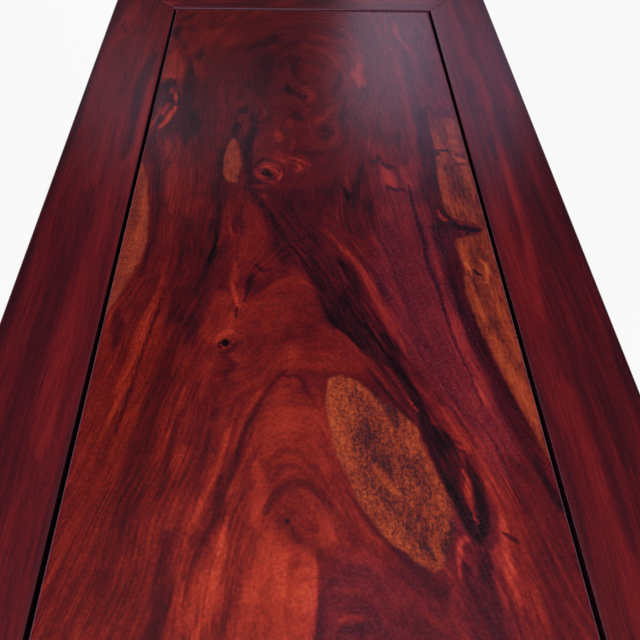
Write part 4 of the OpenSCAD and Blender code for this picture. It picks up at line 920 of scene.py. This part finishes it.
for out, down in edges + [(ARRIS, PANEL_TOP - TONGUE_TOP)]:
    ring = []
    for v in rim:
        x, y = v.co.x / MM, v.co.y / MM
        x += math.copysign(out, x) if abs(x) > FIELD_X - ARRIS - 0.001 else 0
        y += math.copysign(out, y) if abs(y) > FIELD_Y - ARRIS - 0.001 else 0
        ring.append(board.verts.new((x * MM, y * MM, (PANEL_TOP - down) * MM)))
    for k in range(len(ring)):
        n = (k + 1) % len(ring)
        board.faces.new((last[k], ring[k], ring[n], last[n]))
    last = ring
sides = (0, columns, columns + rows, 2 * columns + rows, len(last))
order = ((False, False), (True, False), (True, True), (False, True))
for k in range(4):
    wall_foot = [last[m % len(last)] for m in range(sides[k], sides[k + 1] + 1)]
    board.faces.new(wall_foot[::-1] + [corners[order[k]], corners[order[(k + 1) % 4]]])
bmesh.ops.recalc_face_normals(board, faces=board.faces)
panel_mesh = mesh_of(board, "panel")

along, side = points_of(panel_mesh)[:, :2].T
level = growth_level(along, side)
# the fibre's direction, and how far each fibre runs past or short of where a colour is drawn to end
slope_x = growth_level(along + 0.5, side) - growth_level(along - 0.5, side)
slope_y = growth_level(along, side + 0.5) - growth_level(along, side - 0.5)
steep = np.hypot(slope_x, slope_y) + 0.05
run = 9 * cloud(along / 60, level / 3.2, 1) + 7 * cloud(along / 90, level / 7, 2)
sway = 1.6 * cloud(along / 22, side / 16, 3)
drawn_x = along + (-slope_y * run + slope_x * sway) / steep
drawn_y = side + (slope_x * run + slope_y * sway) / steep
# crisp shapes only get ragged edges
near_x = along + 0.12 * (drawn_x - along) + 0.4 * cloud(along / 5, side / 4, 4)
near_y = side + 0.12 * (drawn_y - side) + 0.4 * cloud(along / 5, side / 4, 5)
loose, tight = (drawn_x, drawn_y), (near_x, near_y)
tone = laid(np.full(len(along), HEART_TONE), STREAKS, loose, tight)

# fine hatching in the dark band: light and dark streaks beside its middle line, from (-54, -36) down
BAND = np.array(((-54, -36), (0, -9), (40, 12), (80, 30), (120, 48), (164, 70)), float)
pick = np.random.default_rng(5)
passed = np.concatenate(([0], np.cumsum(np.hypot(*np.diff(BAND, axis=0).T))))
hatching = []
for _ in range(90):
    start, length = pick.uniform(0, passed[-1] - 25), pick.uniform(22, 60)
    off = pick.uniform(-14, 15)
    spots = np.linspace(start, min(start + length, passed[-1]), 5)
    middle_x, middle_y = (np.interp(spots, passed, BAND[:, k]) for k in (0, 1))
    off = off * np.interp(spots, (0, 40, 170, passed[-1]), (1.2, 1.0, 0.9, 0.35))
    widths = pick.uniform(0.5, 1.1) * np.array((0.5, 1, 1, 1, 0.5))
    hatching.append((pick.choice((0.03, 0.08, 0.14, 0.36, 0.46)), 0.65, 0.8,
                     tuple(zip(middle_x - 0.45 * off, middle_y + 0.88 * off, widths))))
tone = laid(tone, hatching, loose, tight)
for amount, soft, outline in CLOUDS:
    tone += amount * smooth_step(-soft, soft, inside_by(outline, drawn_x, drawn_y))

depths = np.array([inside_by(outline, near_x, near_y) for _, _, outline in SAPWOOD])
piece = depths.argmax(axis=0)
pale_tones, specks = (np.array([entry[k] for entry in SAPWOOD])[piece] for k in (0, 1))
store(panel_mesh, growth_level=level / 100, tone=tone,
      streaky=laid(np.ones(len(along)), STREAKY, loose, tight),
      tint=laid(np.full(len(along), HEART_TINT), TINT, loose, tight),
      sapwood=np.clip(depths.max(axis=0), -30, 30),
      sapwood_tone=laid(pale_tones, SAP_STREAKS, loose, tight), sapwood_specks=specks)


def streaks(tree, tone, fibre, rows, stretch):
    """Adds noise drawn out along the fibre to a tone. Rows: width and length in mm, share, detail."""
    for width, length, share, detail in rows:
        drawn = add(tree, "ShaderNodeVectorMath", {0: fibre, 1: stretch(width, length)},
                    operation="MULTIPLY")
        noise = add(tree, "ShaderNodeTexNoise", {"Vector": drawn, "Scale": 1.0, "Detail": detail,
                                                 "Roughness": 0.6})
        swing = add(tree, "ShaderNodeMath", {0: noise, 1: -0.5}, operation="ADD")
        tone = add(tree, "ShaderNodeMath", {0: swing, 1: share * 2, 2: tone}, operation="MULTIPLY_ADD")
    return tone


def mottled(tree, tone, place, share):
    """Adds a fine mottle of 1 to 2 mm to a tone."""
    fine = add(tree, "ShaderNodeTexNoise", {"Vector": place, "Scale": 420.0, "Detail": 2.0,
                                            "Roughness": 0.6})
    fine = add(tree, "ShaderNodeMath", {0: fine, 1: -0.5}, operation="ADD")
    return add(tree, "ShaderNodeMath", {0: fine, 1: share, 2: tone}, operation="MULTIPLY_ADD")


def open_pores(tree, fibre, stretch):
    """Open pores, 1 in a pore and 0 between.

    They are 6 mm long and 0.4 mm wide in the drawing, a little coarser than real ones."""
    drawn = add(tree, "ShaderNodeVectorMath", {0: fibre, 1: stretch(0.7, 6)}, operation="MULTIPLY")
    pores = add(tree, "ShaderNodeTexNoise", {"Vector": drawn, "Scale": 1.0, "Detail": 1.0})
    return add(tree, "ShaderNodeMapRange", {0: pores, 1: 0.36, 2: 0.46, 3: 1.0, 4: 0.0})


def waxed(tree, colour, pores, rough, duller, relief):
    """The wax finish over a colour: its roughness, how much duller the pores are, and their relief."""
    gloss = add(tree, "ShaderNodeMath", {0: pores, 1: duller, 2: rough}, operation="MULTIPLY_ADD")
    height = add(tree, "ShaderNodeMath", {0: pores, 1: -1.0}, operation="MULTIPLY")
    bump = add(tree, "ShaderNodeBump", {"Height": height, "Strength": relief, "Distance": 0.2 * MM})
    add(tree, "ShaderNodeOutputMaterial", {"Surface": add(tree, "ShaderNodeBsdfPrincipled", {
        "Base Color": colour, "Roughness": gloss, "Normal": bump, "IOR": 1.5})})


def below_top(depth):
    """The height in metres that lies so many mm below the top."""
    return (PANEL_TOP - depth) * MM


# Figured rosewood: the eye sees dark to orange red bands that follow the growth lines, finer
# streaks and open pores along the fibre, and mottled orange sapwood with a soft edge.
# the near black that is painted into the groove as its shade
PAINTED_GROOVE_SHADE = "#0a0508"
figured = bpy.data.materials.new("figured_rosewood_waxed")
tree = emptied(figured)
place = add(tree, "ShaderNodeTexCoord", out=3)
place_x = add(tree, "ShaderNodeSeparateXYZ", {0: place}, out=0)
place_z = add(tree, "ShaderNodeSeparateXYZ", {0: place}, out=2)
growth, toned, streaked, tinted, sapped, sap_toned, specked = (
    add(tree, "ShaderNodeAttribute", out=2, attribute_name=name)
    for name in ("growth_level", "tone", "streaky", "tint", "sapwood", "sapwood_tone", "sapwood_specks"))
# along the fibre in decimetres, across it in decimetres of growth
fibre = add(tree, "ShaderNodeCombineXYZ", {
    0: add(tree, "ShaderNodeMath", {0: place_x, 1: 10.0}, operation="MULTIPLY"), 1: growth})


def by_growth(width, length):
    """Stretches noise to a width across the fibre and a length along it, in mm."""
    return (100 / length, 100 / width, 1)


total = streaks(tree, 0.0, fibre, ((16, 260, 0.10, 2.0), (5, 120, 0.20, 2.0), (1.8, 50, 0.22, 2.0),
                                   (0.9, 24, 0.16, 1.0)), by_growth)
total = add(tree, "ShaderNodeMath", {0: total, 1: streaked, 2: toned}, operation="MULTIPLY_ADD")
total = mottled(tree, total, place, 0.38)
# cloudy patches of about 15 mm
patchy = add(tree, "ShaderNodeTexNoise", {"Vector": place, "Scale": 60.0, "Detail": 2.0})
cloudy = add(tree, "ShaderNodeMath", {0: patchy, 1: -0.5}, operation="ADD")
total = add(tree, "ShaderNodeMath", {0: cloudy, 1: 0.22, 2: total}, operation="MULTIPLY_ADD")
pores = open_pores(tree, fibre, by_growth)
total = add(tree, "ShaderNodeMath", {0: pores, 1: -0.07, 2: total}, operation="MULTIPLY_ADD")
# the ramps run from tone 0 at 0.1 to tone 1 at 0.8, with a pale end for flecks
total = add(tree, "ShaderNodeMath", {0: total, 1: 0.7, 2: 0.1}, operation="MULTIPLY_ADD")
warm = add(tree, "ShaderNodeValToRGB", {0: total}, stops=(
    (0.00, "#0b0508"), (0.10, "#15070c"), (0.205, "#2f0b12"), (0.31, "#470c13"), (0.415, "#5e1013"),
    (0.52, "#7a1914"), (0.625, "#992918"), (0.73, "#b83722"), (0.80, "#cc4a28"), (0.87, "#d96c46"),
    (1.00, "#eda583")))
crimson = add(tree, "ShaderNodeValToRGB", {0: total}, stops=(
    (0.00, "#0c050d"), (0.10, "#170714"), (0.205, "#310d1f"), (0.31, "#481124"), (0.415, "#5d1626"),
    (0.52, "#771d29"), (0.625, "#96282d"), (0.73, "#b43735"), (0.80, "#cb4a40"), (1.00, "#eda39a")))
heart = add(tree, "ShaderNodeMix", {0: tinted, 6: warm, 7: crimson}, out=2, data_type="RGBA")
# painted sheen: where the heartwood is crimson, small ripples across the fibre are painted a pale lilac,
# standing in for the light they catch
ripple_sheen = add(tree, "ShaderNodeVectorMath", {0: place, 1: (760, 420, 1)}, operation="MULTIPLY")
ripple_sheen = add(tree, "ShaderNodeTexNoise", {"Vector": ripple_sheen, "Scale": 1.0, "Detail": 1.0})
ripple_sheen = add(tree, "ShaderNodeMapRange", {0: ripple_sheen, 1: 0.52, 2: 0.70, 3: 0.0, 4: 0.24})
crimson_part = add(tree, "ShaderNodeMapRange", {0: tinted, 1: 0.60, 2: 0.95, 3: 0.0, 4: 1.0})
ripple_sheen = add(tree, "ShaderNodeMath", {0: ripple_sheen, 1: crimson_part}, operation="MULTIPLY")
heart = add(tree, "ShaderNodeMix", {0: ripple_sheen, 6: heart, 7: linear("#94485e")}, out=2, data_type="RGBA")
# sapwood: a mottle that is weaker where the wood is smooth, and there soft streaks along the board
mottle = add(tree, "ShaderNodeTexNoise", {"Vector": place, "Scale": 380.0, "Detail": 2.0, "Roughness": 0.6})
speck = add(tree, "ShaderNodeMath", {0: patchy, 1: 0.5, 2: mottle}, operation="MULTIPLY_ADD")
speck = add(tree, "ShaderNodeMath", {0: speck, 1: -0.75}, operation="ADD")
spread = add(tree, "ShaderNodeMath", {0: specked, 1: 0.75, 2: 0.45}, operation="MULTIPLY_ADD")
speck = add(tree, "ShaderNodeMath", {0: speck, 1: spread, 2: sap_toned}, operation="MULTIPLY_ADD")
blotch = add(tree, "ShaderNodeVectorMath", {0: place, 1: (90, 420, 1)}, operation="MULTIPLY")
blotch = add(tree, "ShaderNodeTexNoise", {"Vector": blotch, "Scale": 1.0, "Detail": 2.0})
smooth = add(tree, "ShaderNodeMath", {0: 1.0, 1: specked}, operation="SUBTRACT")
clouded = add(tree, "ShaderNodeMath", {0: blotch, 1: -0.5}, operation="ADD")
clouded = add(tree, "ShaderNodeMath", {0: clouded, 1: smooth}, operation="MULTIPLY")
speck = add(tree, "ShaderNodeMath", {0: clouded, 1: 0.9, 2: speck}, operation="MULTIPLY_ADD")
pale = add(tree, "ShaderNodeValToRGB", {0: speck}, stops=(
    (0.05, "#33141f"), (0.3, "#652321"), (0.55, "#923525"), (0.8, "#b1482a"), (1.0, "#c45c31")))
# dark specks of about a millimetre, drawn out along the board, that crowd where the sapwood is dull
grains = add(tree, "ShaderNodeVectorMath", {0: place, 1: (620, 1000, 1)}, operation="MULTIPLY")
spotty = add(tree, "ShaderNodeTexNoise", {"Vector": grains, "Scale": 1.0, "Detail": 2.0, "Roughness": 0.75})
spotty = add(tree, "ShaderNodeMath", {0: blotch, 1: 0.5, 2: spotty}, operation="MULTIPLY_ADD")
limit = add(tree, "ShaderNodeMath", {0: sap_toned, 1: -0.42, 2: -0.575}, operation="MULTIPLY_ADD")
spotty = add(tree, "ShaderNodeMath", {0: spotty, 1: limit}, operation="ADD")
spotty = add(tree, "ShaderNodeMapRange", {0: spotty, 1: -0.07, 2: 0.07, 3: 0.0, 4: 0.8})
spotty = add(tree, "ShaderNodeMath", {0: spotty, 1: specked}, operation="MULTIPLY")
pale = add(tree, "ShaderNodeMix", {0: spotty, 6: pale, 7: linear("#341828")}, out=2, data_type="RGBA")
# the sapwood's edge is ragged by a millimetre or two and runs softly into the heartwood
ragged = add(tree, "ShaderNodeTexNoise", {"Vector": place, "Scale": 160.0, "Detail": 3.0})
edge = add(tree, "ShaderNodeMath", {0: ragged, 1: -0.5}, operation="ADD")
edge = add(tree, "ShaderNodeMath", {0: edge, 1: 3.0, 2: sapped}, operation="MULTIPLY_ADD")
edge = add(tree, "ShaderNodeMapRange", {0: edge, 1: -1.0, 2: 2.2, 3: 0.0, 4: 1.0},
           interpolation_type="SMOOTHSTEP")
face = add(tree, "ShaderNodeMix", {0: edge, 6: heart, 7: pale}, out=2, data_type="RGBA")
# painted shade: the tongue and the sides of the groove are painted near black, standing in for the shade
# deep in the groove
groove = add(tree, "ShaderNodeMapRange", {0: place_z, 1: below_top(2), 2: below_top(1.1), 3: 1.0, 4: 0.0})
face = add(tree, "ShaderNodeMix", {0: groove, 6: face, 7: linear(PAINTED_GROOVE_SHADE)}, out=2, data_type="RGBA")
# painted highlight: the rounded arris is painted a paler lilac, standing in for the light it catches
arris_highlight = add(tree, "ShaderNodeMapRange", {
    0: place_z, 1: below_top(0.15), 2: below_top(0.03), 3: 0.55, 4: 0.0})
arris_highlight_band = add(tree, "ShaderNodeMapRange", {
    0: place_z, 1: below_top(1.2), 2: below_top(0.8), 3: 0.0, 4: 1.0})
arris_highlight = add(tree, "ShaderNodeMath", {0: arris_highlight, 1: arris_highlight_band}, operation="MULTIPLY")
face = add(tree, "ShaderNodeMix", {0: arris_highlight, 6: face, 7: linear("#7d6482")}, out=2, data_type="RGBA")
waxed(tree, face, pores, rough=0.20, duller=0.06, relief=0.06)

panel_mesh.materials.append(figured)
smoothed(panel_mesh)
panel = added("panel", panel_mesh)
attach(panel, "root")
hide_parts("top_panel")


# The top frame. Two long members and two end members of the same rosewood, mitred, with through
# tenons at the corners. Each is planed and waxed, with its arrises rubbed soft.

AXES = {"x": 0, "y": 1, "z": 2}
# how far a rubbed arris may stand off the piece's own surface, in mm
STRAY = 0.5
FRAME_STOPS = ((0.0, "#190a13"), (0.2, "#33101b"), (0.4, "#4f111d"), (0.6, "#6e171f"), (0.8, "#8d2221"),
               (1.0, "#af3325"))


def rosewood(name, grain, seed, stops, drawn=False):
    """Plain rosewood, planed and waxed, with its grain along one axis.

    The eye sees a dark red with long streaks and fine pores along the grain, and a low sheen. Where
    the streaks are drawn, the tone is an attribute of the mesh, the groove walls get a painted shade
    and the arris along the groove a painted highlight."""
    made = bpy.data.materials.new(name)
    tree = emptied(made)
    place = add(tree, "ShaderNodeTexCoord", out=3)
    shifted = add(tree, "ShaderNodeVectorMath", {0: place, 1: (seed * 1.7, seed * 2.3, seed * 3.1)},
                  operation="ADD")
    waves = add(tree, "ShaderNodeTexNoise", {"Vector": shifted, "Scale": 5.0, "Detail": 1.0}, out=1)
    bent = add(tree, "ShaderNodeVectorMath", {0: waves, 1: (0.018, 0.018, 0.018), 2: shifted},
               operation="MULTIPLY_ADD")

    def by_grain(width, length):
        scale = [1000 / width] * 3
        scale[AXES[grain]] = 1000 / length
        return scale

    total = add(tree, "ShaderNodeAttribute", out=2, attribute_name="tone") if drawn else HEART_TONE
    total = streaks(tree, total, bent, (
        (22, 420, 0.15 if drawn else 0.42, 2.0), (6, 160, 0.22 if drawn else 0.30, 2.0),
        (1.6, 45, 0.24, 2.0)), by_grain)
    total = mottled(tree, total, place, 0.2)
    pores = open_pores(tree, bent, by_grain)
    total = add(tree, "ShaderNodeMath", {0: pores, 1: -0.05, 2: total}, operation="MULTIPLY_ADD")
    colour = add(tree, "ShaderNodeValToRGB", {0: total}, stops=stops)
    if drawn:
        # painted shade: the walls of the groove are painted near black, standing in for its shade
        groove = add(tree, "ShaderNodeAttribute", out=2, attribute_name="groove")
        colour = add(tree, "ShaderNodeMix", {0: groove, 6: colour, 7: linear(PAINTED_GROOVE_SHADE)}, out=2,
                     data_type="RGBA")
        # painted highlight: the rounded arris along the groove is painted a paler lilac, standing in for
        # the light it catches
        place_z = add(tree, "ShaderNodeSeparateXYZ", {0: place}, out=2)
        rubbed = add(tree, "ShaderNodeAttribute", out=2, attribute_name="rubbed")
        arris_highlight = add(tree, "ShaderNodeMapRange", {
            0: place_z, 1: below_top(1.1), 2: below_top(0.8), 3: 0.0, 4: 0.85})
        arris_highlight_band = add(tree, "ShaderNodeMapRange", {
            0: place_z, 1: below_top(0.2), 2: below_top(0.01), 3: 1.0, 4: 0.0})
        arris_highlight = add(tree, "ShaderNodeMath", {0: arris_highlight, 1: arris_highlight_band}, operation="MULTIPLY")
        arris_highlight = add(tree, "ShaderNodeMath", {0: arris_highlight, 1: rubbed}, operation="MULTIPLY")
        colour = add(tree, "ShaderNodeMix", {0: arris_highlight, 6: colour, 7: linear("#8d7294")}, out=2,
                     data_type="RGBA")
    waxed(tree, colour, pores, rough=0.23, duller=0.02, relief=0.03)
    return made


def eased(name, node, width, material, work=None):
    """A copy of a CAD piece with its sharp arrises rubbed round, which then stands for it.

    The width in mm may be a function of an edge's middle. Work is a last step on the mesh."""
    data = mesh_of(merged(node), name)
    data.materials.append(material)
    smoothed(data)
    raw = added(name, data)
    bevel = raw.modifiers.new("arris", "BEVEL")
    bevel.segments = 3
    bevel.use_clamp_overlap = True
    bevel.harden_normals = True
    if callable(width):
        ends = [[data.vertices[k].co for k in e.vertices] for e in data.edges]
        widths = [width((a + b) / 2) if e.use_edge_sharp else 0 for e, (a, b) in zip(data.edges, ends)]
        bevel.width = max(widths) * MM
        bevel.limit_method = "WEIGHT"
        weights = data.attributes.new("bevel_weight_edge", "FLOAT", "EDGE")
        weights.data.foreach_set("value", [w / max(widths) for w in widths])
    else:
        bevel.width = width * MM
        bevel.limit_method = "ANGLE"
        bevel.angle_limit = SHARP
    shaped = bpy.data.meshes.new_from_object(raw.evaluated_get(bpy.context.evaluated_depsgraph_get()))
    raw.modifiers.clear()
    raw.data = shaped
    shaped.name = name
    # the bevel runs past the sharp tip of a mitre: such points go back to the piece's own surface
    solid = BVHTree.FromPolygons([v.co for v in data.vertices], [f.vertices for f in data.polygons])
    low, high = ([pick(v.co[k] for v in data.vertices) for k in range(3)] for pick in (min, max))
    for v in shaped.vertices:
        spot, _, _, far = solid.find_nearest(v.co)
        if far > STRAY * MM:
            v.co = spot
        v.co = [min(max(v.co[k], low[k]), high[k]) for k in range(3)]
    if work:
        work(shaped)
    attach(raw, "root")
    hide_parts(node)
    return raw


# The streaks of each member, set out as in the panel.
RAIL_STREAKS = {
    "back": (
        (0.62, 0.8, 0.9, ((-460, 187, 4), (-400, 189, 5), (-360, 190, 4), (-330, 188, 3))),
        (0.32, 0.8, 0.9, ((-480, 203, 3), (-400, 202, 4), (-350, 203, 4), (-300, 204, 4), (-260, 207, 4),
            (-200, 209, 4.5), (-150, 210, 5), (-110, 213, 5))),
        (0.22, 0.85, 0.9, ((-205, 204, 2), (-180, 206, 4), (-155, 208, 5), (-130, 210, 5), (-108, 213, 4))),
        (0.66, 0.75, 0.9, ((-110, 191, 3), (-96, 193, 4), (-70, 194, 4), (-40, 194, 4))),
        (0.56, 0.8, 0.9, ((-470, 213, 4), (-410, 213, 5), (-385, 213, 4))),
        (0.30, 0.8, 0.9, ((-480, 236, 8), (-300, 237, 7), (-150, 238, 7), (200, 238, 6), (480, 237, 6))),
        (0.58, 0.8, 0.9, ((-330, 182, 5), (-290, 190, 8), (-240, 195, 7), (-200, 196, 5))),
        (0.28, 0.8, 0.9, ((-245, 182, 3), (-228, 183, 4), (-215, 184, 3))),
        (0.30, 0.8, 0.9, ((-150, 189, 3), (-130, 190, 4), (-115, 190, 3))),
        (0.78, 0.7, 0.9, ((-228, 225, 2), (-213, 226, 4), (-200, 224, 2))),
        (0.70, 0.75, 0.9, ((-130, 196, 2.4), (-100, 195, 3), (-60, 195, 3.4), (-20, 194, 4), (30, 188, 4),
            (80, 186, 3))),
        (0.58, 0.7, 0.9, ((-70, 172, 4), (-20, 172, 7), (30, 173, 7), (80, 172, 6), (180, 175, 5))),
        (0.36, 0.8, 0.9, ((-140, 213, 5), (-90, 207, 5), (-30, 204, 5), (40, 200, 5), (120, 196, 6),
            (260, 198, 5))),
        (0.32, 0.7, 0.9, ((-60, 218, 8), (0, 217, 8), (200, 214, 8))),
        (0.66, 0.7, 0.9, ((150, 188, 4), (260, 184, 6), (380, 186, 5))),
        (0.60, 0.7, 0.9, ((220, 226, 4), (330, 222, 6), (450, 224, 4))),
    ),
    "front": (
        (0.57, 0.9, 0.9, ((-380, -196, 30), (-250, -192, 30), (-80, -180, 30))),
        (0.30, 0.8, 0.9, ((-480, -233, 7), (-400, -235, 6), (-340, -238, 5), (100, -238, 5),
            (480, -237, 5))),
        (0.72, 0.8, 0.9, ((-425, -208, 3), (-400, -211, 6), (-380, -216, 6), (-362, -224, 4))),
        (0.30, 0.8, 0.7, ((-366, -219, 2), (-360, -220, 3.5), (-354, -221, 2))),
        (0.70, 0.8, 0.9, ((-352, -212, 3), (-344, -220, 4), (-328, -224, 3))),
        (0.46, 0.8, 0.9, ((-460, -195, 6), (-390, -196, 7), (-350, -200, 6))),
        (0.68, 0.8, 0.9, ((-375, -178, 3), (-345, -181, 5), (-310, -184, 4), (-280, -188, 4),
            (-240, -191, 4), (-190, -191, 4), (-150, -188, 4))),
        (0.28, 0.8, 0.9, ((-310, -172, 3), (-270, -177, 5), (-230, -180, 5.5), (-195, -180, 5),
            (-150, -178, 4), (-110, -178, 4))),
        (0.68, 0.8, 0.9, ((-245, -168, 3), (-225, -170, 4), (-190, -170, 4), (-130, -170, 4),
            (-100, -172, 5))),
        (0.50, 0.7, 0.9, ((-320, -208, 6), (-280, -204, 8), (-230, -200, 6))),
        (0.62, 0.7, 0.9, ((-80, -184, 5), (60, -186, 7), (200, -182, 6))),
        (0.32, 0.7, 0.9, ((-60, -202, 5), (120, -206, 7), (330, -200, 6))),
        (0.64, 0.7, 0.9, ((160, -222, 5), (300, -220, 7), (440, -224, 5))),
    ),
    "left": (
        (0.84, 0.85, 0.9, ((-430, -184, 3), (-424, -174, 5), (-426, -160, 3))),
        (0.62, 0.8, 0.9, ((-436, -126, 6), (-438, -105, 8), (-436, -88, 6))),
        (0.32, 0.8, 0.9, ((-425, -80, 5), (-430, -60, 8), (-432, -45, 7))),
        (0.62, 0.8, 0.9, ((-424, -30, 4), (-428, -12, 6), (-430, 0, 4))),
        (0.26, 0.8, 0.9, ((-440, 8, 12), (-436, 22, 10), (-428, 34, 6))),
        (0.76, 0.8, 0.9, ((-446, 58, 6), (-438, 75, 8), (-430, 95, 6))),
        (0.62, 0.8, 0.9, ((-440, 110, 8), (-436, 140, 9), (-430, 172, 6))),
        (0.34, 0.7, 0.9, ((-470, -190, 6), (-474, 0, 8), (-468, 190, 6))),
    ),
    "right": (
        (0.64, 0.8, 0.9, ((430, -170, 4), (436, -60, 7), (430, 60, 5))),
        (0.32, 0.8, 0.9, ((450, -200, 6), (456, 0, 8), (450, 200, 6))),
        (0.60, 0.8, 0.9, ((476, -120, 5), (472, 60, 6), (478, 190, 4))),
        (0.34, 0.8, 0.9, ((420, 80, 4), (424, 140, 6), (420, 170, 4))),
    ),
}
# a member's tone before its streaks; half the opening within the members, and the size of a cell, in mm
RAIL_TONE = 0.47
INNER_X, INNER_Y = 414.0, 164.0
CELL_ALONG, CELL_ACROSS = 7.0, 2.6


def arris(middle):
    """The arrises along the groove are rubbed rounder than the rest."""
    x, y, z = (abs(v) / MM for v in middle)
    by_groove = z > PANEL_TOP - 0.5 and (abs(x - INNER_X) < 1 or abs(y - INNER_Y) < 1)
    return ARRIS if by_groove else 0.6


def streaked_rail(shaped, lengthwise, shapes):
    """Cuts the top face of a member into small cells that carry its streaks."""
    custom = shaped.attributes.get("custom_normal")
    if custom:
        shaped.attributes.remove(custom)
    cut = bmesh.new()
    cut.from_mesh(shaped)
    cut.normal_update()
    for axis in (0, 1):
        step = CELL_ALONG if axis == lengthwise else CELL_ACROSS
        low, high = (pick(v.co[axis] for v in cut.verts) / MM for pick in (min, max))
        faces = [f for f in cut.faces
                 if f.normal.z > 0.99 and f.calc_center_median().z > (PANEL_TOP - 0.5) * MM]
        piece = list({g for f in faces for g in (f, *f.edges, *f.verts)})
        for k in range(1, round((high - low) / step)):
            spot, way = [0, 0, PANEL_TOP * MM], [0, 0, 0]
            spot[axis], way[axis] = (low + k * step) * MM, 1
            piece = bmesh.ops.bisect_plane(cut, geom=piece, dist=1e-7, plane_co=spot, plane_no=way)["geom"]
    cut.to_mesh(shaped)
    cut.free()
    x, y, z = points_of(shaped).T
    # painted shade: the member's walls below the top, inside the opening, are marked to be painted near
    # black
    shaded_groove_walls = (np.abs(x) < INNER_X + 0.05) & (np.abs(y) < INNER_Y + 0.05) & (z < PANEL_TOP - 1)
    # points by the groove, where the painted arris highlight goes
    by_groove = (np.abs(x) < INNER_X + 1.6) & (np.abs(y) < INNER_Y + 1.6)
    run, wide = (x, y) if lengthwise == 0 else (y, x)
    wander = 2.4 * cloud(run / 70, wide / 30, 11)
    slide = 14 * cloud(run / 80, wide / 4, 12)
    swayed = (x + slide, y + wander) if lengthwise == 0 else (x + wander, y + slide)
    store(shaped, tone=laid(np.full(len(x), RAIL_TONE), shapes, swayed, (x, y)), groove=shaded_groove_walls,
          rubbed=by_groove)
    smoothed(shaped)


frame_long = rosewood("rosewood_frame_along", "x", 1.0, FRAME_STOPS, drawn=True)
frame_end = rosewood("rosewood_frame_across", "y", 2.0, FRAME_STOPS, drawn=True)
for where, material, lengthwise in (("front", frame_long, 0), ("back", frame_long, 0),
                                    ("left", frame_end, 1), ("right", frame_end, 1)):
    eased("frame_rail_" + where, "top_rail_" + where, arris, material,
          lambda shaped: streaked_rail(shaped, lengthwise, RAIL_STREAKS[where]))


# The braces. Three bars of the same wood slide in dovetail grooves under the panel and are tenoned
# into the long members; they keep the board flat. Planed square, with the arrises just broken.

brace_wood = rosewood("rosewood_brace", "y", 3.0, FRAME_STOPS)
for where in ("left", "middle", "right"):
    eased("crossbar_" + where, "brace_" + where, 0.4, brace_wood)


# The corner pegs. Four short pins of a plain paler hardwood, driven from below through the mitred
# corner tenons of the frame.

HARDWOOD_STOPS = ((0.0, "#3a2216"), (0.5, "#6e4228"), (1.0, "#94603c"))
pin_wood = rosewood("hardwood_pins", "z", 4.0, HARDWOOD_STOPS)
eased("corner_pins", "corner_pegs", 0.2, pin_wood)


# The aprons. Thin boards on edge under the frame, two long ones that run through the slots of the
# legs and two short ones that close the ends, mitred where they meet.

apron_long = rosewood("rosewood_apron_long", "x", 5.0, FRAME_STOPS)
apron_short = rosewood("rosewood_apron_short", "y", 6.0, FRAME_STOPS)
for where in ("front", "back"):
    eased("long_apron_" + where, "apron_" + where, 0.6, apron_long)
for where in ("left", "right"):
    eased("short_apron_" + where, "apron_end_" + where, 0.6, apron_short)


# The apron keys. Ten loose tenons of the plain hardwood, half in the aprons and half in the frame,
# cut with the grain upright and a sliding fit.

loose_wood = rosewood("hardwood_loose_tenons", "z", 7.0, HARDWOOD_STOPS)
eased("loose_tenons", "apron_keys", 0.2, loose_wood)


# The spandrels. One shaped board beside each leg, through the leg's slot and mitred into the apron
# above, with its grain upright and its curved edge rounded by hand.

spandrel_wood = rosewood("rosewood_spandrel", "z", 8.0, FRAME_STOPS)
for where in ("front_left", "front_right", "back_left", "back_right"):
    eased("bracket_" + where, "spandrel_" + where, 0.6, spandrel_wood)


# The legs. Four round splayed legs, shaped by plane and scraper, whose slotted heads clasp apron
# and spandrel and carry twin tenons up into the long members.

leg_wood = rosewood("rosewood_leg", "z", 9.0, FRAME_STOPS)
for where in ("front_left", "front_right", "back_left", "back_right"):
    eased("round_leg_" + where, "leg_" + where, 0.5, leg_wood)


# The stretchers. A pair of oval rods between the legs at each end, let into the legs with round
# tenons.

stretcher_wood = rosewood("rosewood_stretcher", "y", 10.0, FRAME_STOPS)
for where in ("left_upper", "left_lower", "right_upper", "right_lower"):
    eased("oval_" + where, "stretcher_" + where, 0.3, stretcher_wood)
